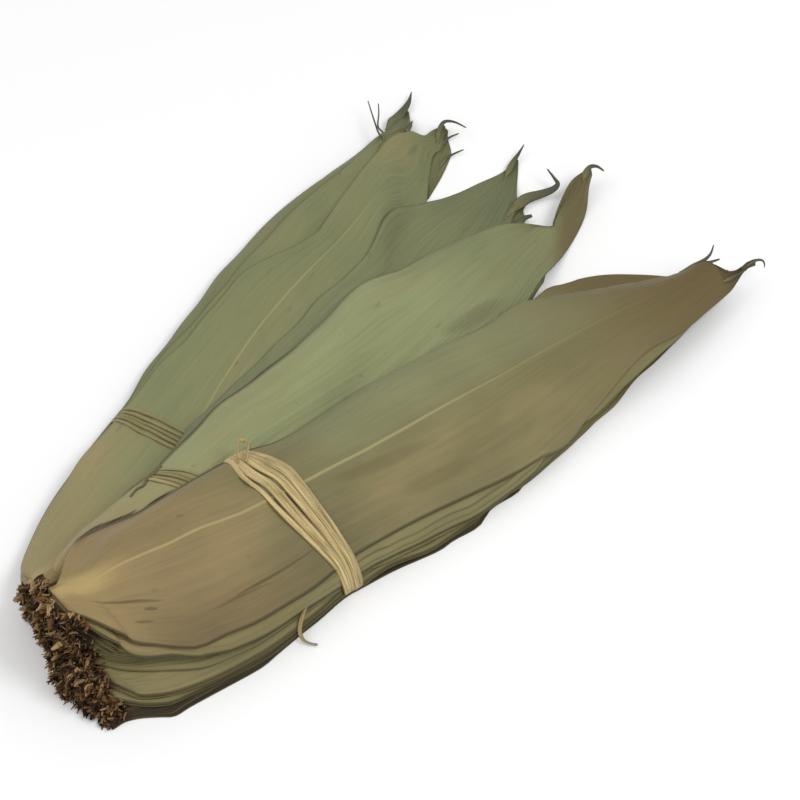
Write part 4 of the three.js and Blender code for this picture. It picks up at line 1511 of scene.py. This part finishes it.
def make_tie(hand_index):
    """Winds the tie of one hand and adds its loose ends."""
    size, hand_name = sizes().tie, HANDS[hand_index]["name"]
    half = (size.front_width if hand_name == "front" else size.side_width) / 2 / MM
    strands = [tie_strand(hand_index, n, half) for n in range(TIES[hand_index]["strands"])]
    for strand in strands:
        lay_strand(strand["path"])
    if hand_name == "middle":
        strands.append(middle_extra())
    if hand_name == "front":
        strands += front_extras()
    sweep(
        f"raffia_{hand_name}", strands, size.thickness / MM / (2 * half), 10,
        raffia_material(), (f"tie_{hand_name}",),
    )


# Where the flat face of a thread looks
SKYWARD = np.array([-0.36, -0.4, 0.84])

# Threads and splinters of torn leaf ends: path, half width at its root and at its end
THREADS = {
    "back": (
        (((305, 131.5, 9), (315, 138, 8.2), (320, 146, 8.4), (326, 155.5, 9), (331.5, 164.1, 9.4)),
         0.8, 0.25),
        (((312, 133, 8.8), (319, 141, 8.4), (321.5, 147, 8.8), (328, 153, 10), (332.5, 157.8, 11)),
         0.75, 0.25),
        (((338, 123, 8.5), (343.5, 127, 8.5), (348.2, 128.2, 9), (351, 124.2, 9),
          (352.8, 117.5, 8)), 1.9, 0.3),
        (((328, 134, 3.3), (335, 139, 3.5), (341.2, 142.9, 3.6)), 2.0, 0.3),
        (((327, 111.5, 1.5), (335, 114, 1.6), (340, 113.4, 1.8), (345.4, 111.9, 2.0)), 1.2, 0.3),
        (((334, 119, 1.6), (342, 122.4, 1.7), (347, 123, 1.8), (352, 121.6, 2.0)), 1.3, 0.3),
        (((327, 147.6, 2.6), (338, 150, 2.6), (349, 153.8, 2.8), (356.4, 158.6, 3)), 4.6, 0.2),
    ),
    "middle": (
        (((322, 63, 3.4), (333, 65, 3.4), (341, 65.4, 3.4), (347.5, 62.8, 3.6),
          (353.5, 60.4, 4.4), (357, 60.4, 5.8), (357.6, 63, 7.2), (358.6, 68.8, 9)), 4.2, 0.35),
        (((322, 54, 3.4), (329, 57, 3.8), (334, 55.6, 4)), 2.4, 0.8),
        (((345, 84, 2.4), (355, 88.2, 2.8), (361, 90, 3.4), (366.5, 91.4, 5)), 2.4, 0.25),
        (((362.5, 49.5, 10), (367.8, 52.4, 10.8), (372.2, 53.4, 11.4), (374.8, 51.4, 11.4),
          (375.4, 47.6, 10.8)), 2.2, 0.4),
    ),
    "front": (
        (((346, -25.6, 14.6), (352, -28.4, 16.4), (357.6, -30.8, 18.6), (361, -31, 19.8),
          (363.4, -30.2, 20.8), (365.4, -29.2, 22)), 1.5, 0.25),
        (((347, -29.6, 14.8), (352.4, -31.4, 16.6), (358, -33, 17.8), (363.4, -35, 18.2)),
         1.9, 0.4),
        (((353, -45, 15), (362, -45.9, 15.4), (369.6, -46.6, 15.4)), 1.0, 0.3),
        (((368, -44.6, 12.5), (375, -44, 12), (380.2, -44.6, 11.4), (382.2, -46, 11),
          (381.6, -47.6, 10.6), (380.2, -48.6, 10.4)), 1.2, 0.2),
    ),
}


def make_threads(hand_index):
    """Adds the threads of one hand's torn ends, each rooted on the leaf below it."""
    hand_name = HANDS[hand_index]["name"]
    strands = []
    for n, (points, root, end) in enumerate(THREADS[hand_name]):
        path = through(points, 26)
        t = np.linspace(0, 1, len(path))
        root_height = heap.read(heap.top, path[:1, 0], path[:1, 1])[0] + 0.1
        path[:, 2] += (root_height - path[0, 2]) * (1 - t) ** 2
        strands.append(dict(
            path=path, side=np.cross(unit(np.gradient(path, axis=0)), SKYWARD),
            reach=lerp(root, end, t**0.7) * lerp(0.08, 1, smooth(0, 0.24, t)),
            tone=scatter(n + 9), dry=0.4 + 0.6 * t,
        ))
    sweep(f"torn_ends_{hand_name}", strands, 0.16, 8, torn_material())


# Front of the heap of broken fibres on the floor, with the height that it is filled to
SPILL = (
    (4, -20, 3), (-1, -17, 6), (-4, -12, 10), (-4.5, -6, 15), (-3.6, 1, 20), (-0.6, 8, 22),
    (3.4, 15, 22), (7.5, 23, 18), (9.5, 31, 15), (11, 39, 13), (14, 47, 8),
)

# Where the broken fibres end and the blades begin, up the flank of the front hand
FOOT = ((10, -25.5), (8, -21), (6, -17), (6.5, -12), (8.5, -7), (8.5, -2), (6, 3.5), (2.5, 9))


def behind_front(x, y, z):
    """Moves a root that lies before the front of the heap back to it."""
    y = max(y, SPILL[0][1])
    front = np.interp(y, [p[1] for p in SPILL], [p[0] for p in SPILL])
    return max(x, front - 0.2 * z), y


def tangle_depth(leaf):
    """How far the broken fibres reach over a leaf from its stalk end."""
    if leaf.hand["name"] != "front":
        return 5
    if leaf.k < 3:
        return 11
    return 13 if leaf.k < 11 else 3


class Fibres:
    """Roots, aims, sizes and paleness of the broken fibres, drawn with one steady scatter."""

    def __init__(self, seed):
        self.random = np.random.default_rng(seed)
        self.draw = self.random.uniform
        self.roots, self.aims, self.scales, self.pale = [], [], [], []

    def add(self, root, sideways, upward, scale, palest, paler):
        """One fibre at its root; the rest is drawn from the given ranges."""
        self.roots.append(root)
        self.aims.append((-1, self.draw(*sideways), self.draw(*upward)))
        self.scales.append(self.draw(*scale))
        self.pale.append(self.draw(0, palest) + paler)

    def cover_stalks(self, count):
        """Fibres on the stalk end of each leaf but the highest."""
        for index, leaf in enumerate(ALL_LEAVES[:-1]):
            deep = tangle_depth(leaf)
            for _ in range(round(count * (0.5 + deep / 20))):
                x = leaf.x0 + self.draw(-1.5, deep)
                y = float(leaf.mid(np.array(x))) + self.draw(-3.4, 3.4)
                here = np.array([max(x, leaf.x0 + 0.5)]), np.array([y])
                z = float(lay_height(ALL_LEAVES, index, *here)[0]) + self.draw(0, 1.9)
                x, y = behind_front(x, y, z)
                self.add((x, y, z), (-0.9, 0.7), (-0.4, 0.6), (0.5, 1.3), 1, 0.3 * smooth(2, 20, y))

    def fill_front(self, count):
        """Fibres from the floor up, behind the front of the heap."""
        spill = through(SPILL, 400)
        for _ in range(count):
            x, y, top = spill[self.random.integers(len(spill))]
            back = self.draw(0, 1)
            aside = self.draw(-0.5, 1.5)
            z = self.draw(0.02, 1) * top * (0.35 + 0.65 * back)
            root = (x + 8 * back, y + aside, z)
            self.add(root, (-1.2, 0.8), (-0.6, 0.4), (0.6, 1.4), 0.97, 0.3 * smooth(2, 20, y))

    def cover_flank(self, count):
        """Fibres on the flank of the front hand, up to where its blades begin."""
        for _ in range(count):
            y = self.draw(FOOT[0][1], FOOT[-1][1])
            reach = np.interp(y, [p[1] for p in FOOT], [p[0] for p in FOOT])
            x = reach - self.draw(0, 1) ** 1.3 * 16
            z = heap.read(heap.top, np.array([x]), np.array([y]))[0]
            if z > 0.5:
                root = (x, y, z - self.draw(0.3, 1.5))
                self.add(root, (-1, 0.4), (-0.1, 0.9), (0.4, 1.2), 0.98, 0.25 * smooth(-2, 6, y))


def make_fibres():
    """A tangle of broken fibres over the cut stalk ends."""
    size = sizes().stalk
    fibres = Fibres(size.seed)
    fibres.cover_stalks(size.fibres)
    fibres.fill_front(size.spilled)
    fibres.cover_flank(size.spilled)
    values = {
        "Length": size.fibre_length, "Radius": size.fibre_radius, "Splay": 0.7,
        "Seed": size.seed, "Material": fibre_material(),
    }
    facts = {"aim": fibres.aims, "size": fibres.scales, "pale": fibres.pale}
    run_tree("stalk_fibres", fibre_tree(), values, fibres.roots, [], facts)


# The stage: half width of the floor, the lamps and the camera, in metres

FLOOR_HALF = 8.0
KEY_PLACE = (0.35, -0.9, 1.3)
FILL_PLACE = (-0.9, 0.5, 1.2)
KEY_SIZE = 0.7
FILL_SIZE = 1.2
CAMERA_PLACE = (-0.5932, -0.64589, 0.96609)
CAMERA_AIM = (0.02188, -0.0308, 0.0)
SENSOR_MM = 36
LENS_MM = 130


def stand(data, place, aim):
    """Stands a lamp or the camera at its place, looking at its aim."""
    stander = bpy.data.objects.new(data.name, data)
    bpy.context.scene.collection.objects.link(stander)
    stander.location = place
    stander.rotation_mode = "QUATERNION"
    stander.rotation_quaternion = (Vector(aim) - Vector(place)).to_track_quat("-Z", "Y")
    return stander


def stage():
    """Plain pale floor, soft light and the camera."""
    look, scene = sizes().stage, bpy.context.scene
    mesh = bpy.data.meshes.new("floor")
    r = FLOOR_HALF
    mesh.from_pydata([(-r, -r, 0), (r, -r, 0), (r, r, 0), (-r, r, 0)], [], [(0, 1, 2, 3)])
    floor = bpy.data.objects.new("floor", mesh)
    scene.collection.objects.link(floor)
    material, net = new_material("plain_floor")
    sockets = {"Base Color": rgba(look.floor), "Roughness": 0.9, "Specular IOR Level": 0.0}
    shader = net.add("ShaderNodeBsdfPrincipled", None, sockets)
    net.add("ShaderNodeOutputMaterial", None, {"Surface": shader})
    mesh.materials.append(material)

    world = bpy.data.worlds.new("soft_room")
    world.use_nodes = True
    room = world.node_tree.nodes["Background"].inputs
    room["Color"].default_value = (1, 1, 1, 1)
    room["Strength"].default_value = look.room
    scene.world = world
    for name, place, size, power in (
        ("key", KEY_PLACE, KEY_SIZE, look.key),
        ("fill", FILL_PLACE, FILL_SIZE, look.fill),
    ):
        light = bpy.data.lights.new(name, "AREA")
        light.shape, light.size, light.energy = "DISK", size, power
        stand(light, place, (0, 0, 0))

    scene.view_settings.view_transform = "Standard"
    camera = bpy.data.cameras.new("camera")
    camera.sensor_width, camera.lens = SENSOR_MM, LENS_MM
    scene.camera = stand(camera, CAMERA_PLACE, CAMERA_AIM)


# Settings that a user would change


def size_setting(name, description, default):
    """A size in metres."""
    return bpy.props.FloatProperty(
        name=name, description=description, default=default, min=0, unit="LENGTH", precision=5
    )


def colour_setting(name, description, default):
    """A colour in the linear numbers that Blender keeps."""
    return bpy.props.FloatVectorProperty(
        name=name, description=description, default=default,
        size=3, min=0, max=1, subtype="COLOR",
    )


def number_setting(name, description, default):
    """A whole number."""
    return bpy.props.IntProperty(name=name, description=description, default=default, min=0)


def light_setting(name, description, default, unit="NONE"):
    """Strength of a light."""
    return bpy.props.FloatProperty(
        name=name, description=description, default=default, min=0, unit=unit
    )


class LeafSizes(bpy.types.PropertyGroup):
    blade_thickness: size_setting("Blade thickness", "Thickness of a dried blade", 0.00034)
    stalk_thickness: size_setting("Stalk thickness", "Thickness of the stalk end", 0.0017)
    midrib_height: size_setting("Midrib height", "Height of the midrib over the blade", 0.00035)
    pleat_depth: size_setting("Pleat depth", "Depth of the long pleats", 0.0003)
    margin_wave: size_setting("Margin wave", "How far a margin wanders in and out", 0.0011)
    margin_ripple: size_setting("Margin ripple", "How far a margin waves up and down", 0.0008)
    margin_droop: size_setting("Margin droop", "How far a margin curls down", 0.0012)


class LeafLook(bpy.types.PropertyGroup):
    back: colour_setting("Back hand", "Blades of the back hand", screen(119, 122, 84))
    middle: colour_setting("Middle hand", "Blades of the middle hand", screen(131, 136, 96))
    front: colour_setting("Front hand", "Blades of the front hand", screen(115, 109, 72))
    young: colour_setting("Young", "Greener part of the highest front leaf", screen(122, 124, 88))
    olive: colour_setting("Olive", "Duller patches", screen(122, 118, 80))
    tan: colour_setting("Tan", "Dried leaf feet", screen(133, 114, 77))
    bronze: colour_setting("Bronze", "Browned leaf ends", screen(98, 84, 50))
    rib: colour_setting("Midrib", "Midrib and petiole", screen(168, 156, 108))
    # the blades' own thin dark edge, also painted shade in the gap beneath it
    rim: colour_setting("Margin", "Thin margin of a blade", screen(84, 80, 48))
    # painted shadow along margins and beside the front hand's margin, with the margins' own dark
    # edge
    margin_shadow: colour_setting("Shadow_line", "Darkened margin", screen(50, 40, 20))
    stub: colour_setting("Stub", "Cut stalk end", screen(52, 34, 18))
    fleck: colour_setting("Fleck", "Small stains", screen(98, 84, 52))
    # stains, and painted shade in creases and on lines where the blades are folded
    stain_and_crease_shade: colour_setting("Crease", "Creases and dark stains", screen(86, 72, 42))
    petiole: colour_setting("Petiole", "Straw-coloured leaf foot", screen(168, 146, 96))
    # painted shade on the lowest front leaves, which lie in shadow by the floor
    underside_shade: colour_setting("Shade_below", "Shadowed lowest leaves", screen(35, 27, 17))
    thread: colour_setting("Thread", "Shrivelled threads at torn ends", screen(76, 80, 64))


class TieSizes(bpy.types.PropertyGroup):
    front_width: size_setting("Front strand width", "Width of one strand of the front tie", 0.0027)
    side_width: size_setting("Other strand width", "Width of one strand of the other ties", 0.0018)
    thickness: size_setting("Strand thickness", "Thickness of a strand", 0.0010)


class StalkSizes(bpy.types.PropertyGroup):
    fibres: number_setting("Fibres", "Broken fibres on a stalk end that they cover for 10 mm", 52)
    spilled: number_setting("Spilled", "Broken fibres that fill the heap", 900)
    fibre_length: size_setting("Fibre length", "Length of a broken fibre", 0.0038)
    fibre_radius: size_setting("Fibre radius", "Radius of a broken fibre", 0.00078)
    seed: number_setting("Seed", "Scatter of the fibres", 7)


class TieLook(bpy.types.PropertyGroup):
    light: colour_setting("Light fibre", "Split face of the raffia", screen(216, 194, 138))
    # also painted shade along the sides of each strand
    dark: colour_setting("Dark fibre", "Grooves of the raffia", screen(108, 88, 48))
    green: colour_setting("Green fibre", "Unripe parts of the raffia", screen(138, 132, 74))
    tip: colour_setting("Frayed end", "Grey frayed end", screen(140, 132, 110))


class StalkLook(bpy.types.PropertyGroup):
    dark: colour_setting("Dark fibre", "Rotted fibre", screen(36, 21, 10))
    brown: colour_setting("Brown fibre", "Dry fibre", screen(112, 80, 46))
    pale: colour_setting("Pale fibre", "Freshly split fibre", screen(160, 132, 92))


class StageLook(bpy.types.PropertyGroup):
    floor: colour_setting("Floor", "Plain floor", (0.9, 0.9, 0.9))
    room: light_setting("Room", "Light from all sides", 0.75)
    key: light_setting("Key", "Power of the main lamp", 9.0, "POWER")
    fill: light_setting("Fill", "Power of the second lamp", 5.0, "POWER")


class LeafSheaf(bpy.types.PropertyGroup):
    leaf: bpy.props.PointerProperty(type=LeafSizes)
    leaf_look: bpy.props.PointerProperty(type=LeafLook)
    tie: bpy.props.PointerProperty(type=TieSizes)
    tie_look: bpy.props.PointerProperty(type=TieLook)
    stalk: bpy.props.PointerProperty(type=StalkSizes)
    stalk_look: bpy.props.PointerProperty(type=StalkLook)
    stage: bpy.props.PointerProperty(type=StageLook)


class SHEAF_OT_back_hand(bpy.types.Operator):
    """Lay the leaves of the back hand"""

    bl_idname = "leaf_sheaf.back_hand"
    bl_label = "Back hand"

    def execute(self, context):
        lay_hand(0)
        return {"FINISHED"}


class SHEAF_OT_middle_hand(bpy.types.Operator):
    """Lay the leaves of the middle hand"""

    bl_idname = "leaf_sheaf.middle_hand"
    bl_label = "Middle hand"

    def execute(self, context):
        lay_hand(1)
        return {"FINISHED"}


class SHEAF_OT_front_hand(bpy.types.Operator):
    """Lay the leaves of the front hand"""

    bl_idname = "leaf_sheaf.front_hand"
    bl_label = "Front hand"

    def execute(self, context):
        lay_hand(2)
        return {"FINISHED"}


class SHEAF_OT_back_tie(bpy.types.Operator):
    """Tie the back hand with split raffia"""

    bl_idname = "leaf_sheaf.back_tie"
    bl_label = "Back tie"

    def execute(self, context):
        make_tie(0)
        return {"FINISHED"}


class SHEAF_OT_middle_tie(bpy.types.Operator):
    """Tie the middle hand with split raffia"""

    bl_idname = "leaf_sheaf.middle_tie"
    bl_label = "Middle tie"

    def execute(self, context):
        make_tie(1)
        return {"FINISHED"}


class SHEAF_OT_front_tie(bpy.types.Operator):
    """Tie the front hand with split raffia"""

    bl_idname = "leaf_sheaf.front_tie"
    bl_label = "Front tie"

    def execute(self, context):
        make_tie(2)
        return {"FINISHED"}


class SHEAF_OT_threads(bpy.types.Operator):
    """Add the shrivelled threads of the torn leaf ends"""

    bl_idname = "leaf_sheaf.threads"
    bl_label = "Torn threads"

    def execute(self, context):
        for hand_index in range(len(HANDS)):
            make_threads(hand_index)
        return {"FINISHED"}


class SHEAF_OT_fibres(bpy.types.Operator):
    """Cover the cut stalk ends with broken fibres"""

    bl_idname = "leaf_sheaf.fibres"
    bl_label = "Stalk fibres"

    def execute(self, context):
        make_fibres()
        return {"FINISHED"}


class SHEAF_OT_stage(bpy.types.Operator):
    """Make the floor, the light and the camera"""

    bl_idname = "leaf_sheaf.stage"
    bl_label = "Stage"

    def execute(self, context):
        stage()
        return {"FINISHED"}


OPERATORS = (
    SHEAF_OT_back_hand, SHEAF_OT_back_tie, SHEAF_OT_middle_hand, SHEAF_OT_middle_tie,
    SHEAF_OT_front_hand, SHEAF_OT_front_tie, SHEAF_OT_threads, SHEAF_OT_fibres, SHEAF_OT_stage,
)


class SHEAF_PT_panel(bpy.types.Panel):
    bl_idname = "SHEAF_PT_panel"
    bl_label = "Leaf Sheaf"
    bl_space_type = "VIEW_3D"
    bl_region_type = "UI"
    bl_category = "Leaf Sheaf"

    def draw(self, context):
        for group in ("leaf", "leaf_look", "tie", "tie_look", "stalk", "stalk_look", "stage"):
            settings = getattr(context.scene.leaf_sheaf, group)
            column = self.layout.column()
            for key in settings.__annotations__:
                column.prop(settings, key)
        for operator in OPERATORS:
            self.layout.operator(operator.bl_idname)


CLASSES = (
    LeafSizes, LeafLook, TieSizes, TieLook, StalkSizes, StalkLook, StageLook, LeafSheaf,
    *OPERATORS, SHEAF_PT_panel,
)


def register():
    for cls in CLASSES:
        bpy.utils.register_class(cls)
    bpy.types.Scene.leaf_sheaf = bpy.props.PointerProperty(type=LeafSheaf)


def unregister():
    del bpy.types.Scene.leaf_sheaf
    for cls in reversed(CLASSES):
        bpy.utils.unregister_class(cls)


def main():
    """Builds the sheaf from the lowest hand up, then its loose parts and the stage."""
    register()
    bpy.ops.leaf_sheaf.back_hand()
    bpy.ops.leaf_sheaf.back_tie()
    bpy.ops.leaf_sheaf.middle_hand()
    bpy.ops.leaf_sheaf.middle_tie()
    bpy.ops.leaf_sheaf.front_hand()
    bpy.ops.leaf_sheaf.front_tie()
    bpy.ops.leaf_sheaf.threads()
    bpy.ops.leaf_sheaf.fibres()
    bpy.ops.leaf_sheaf.stage()


if __name__ == "__main__":
    main()
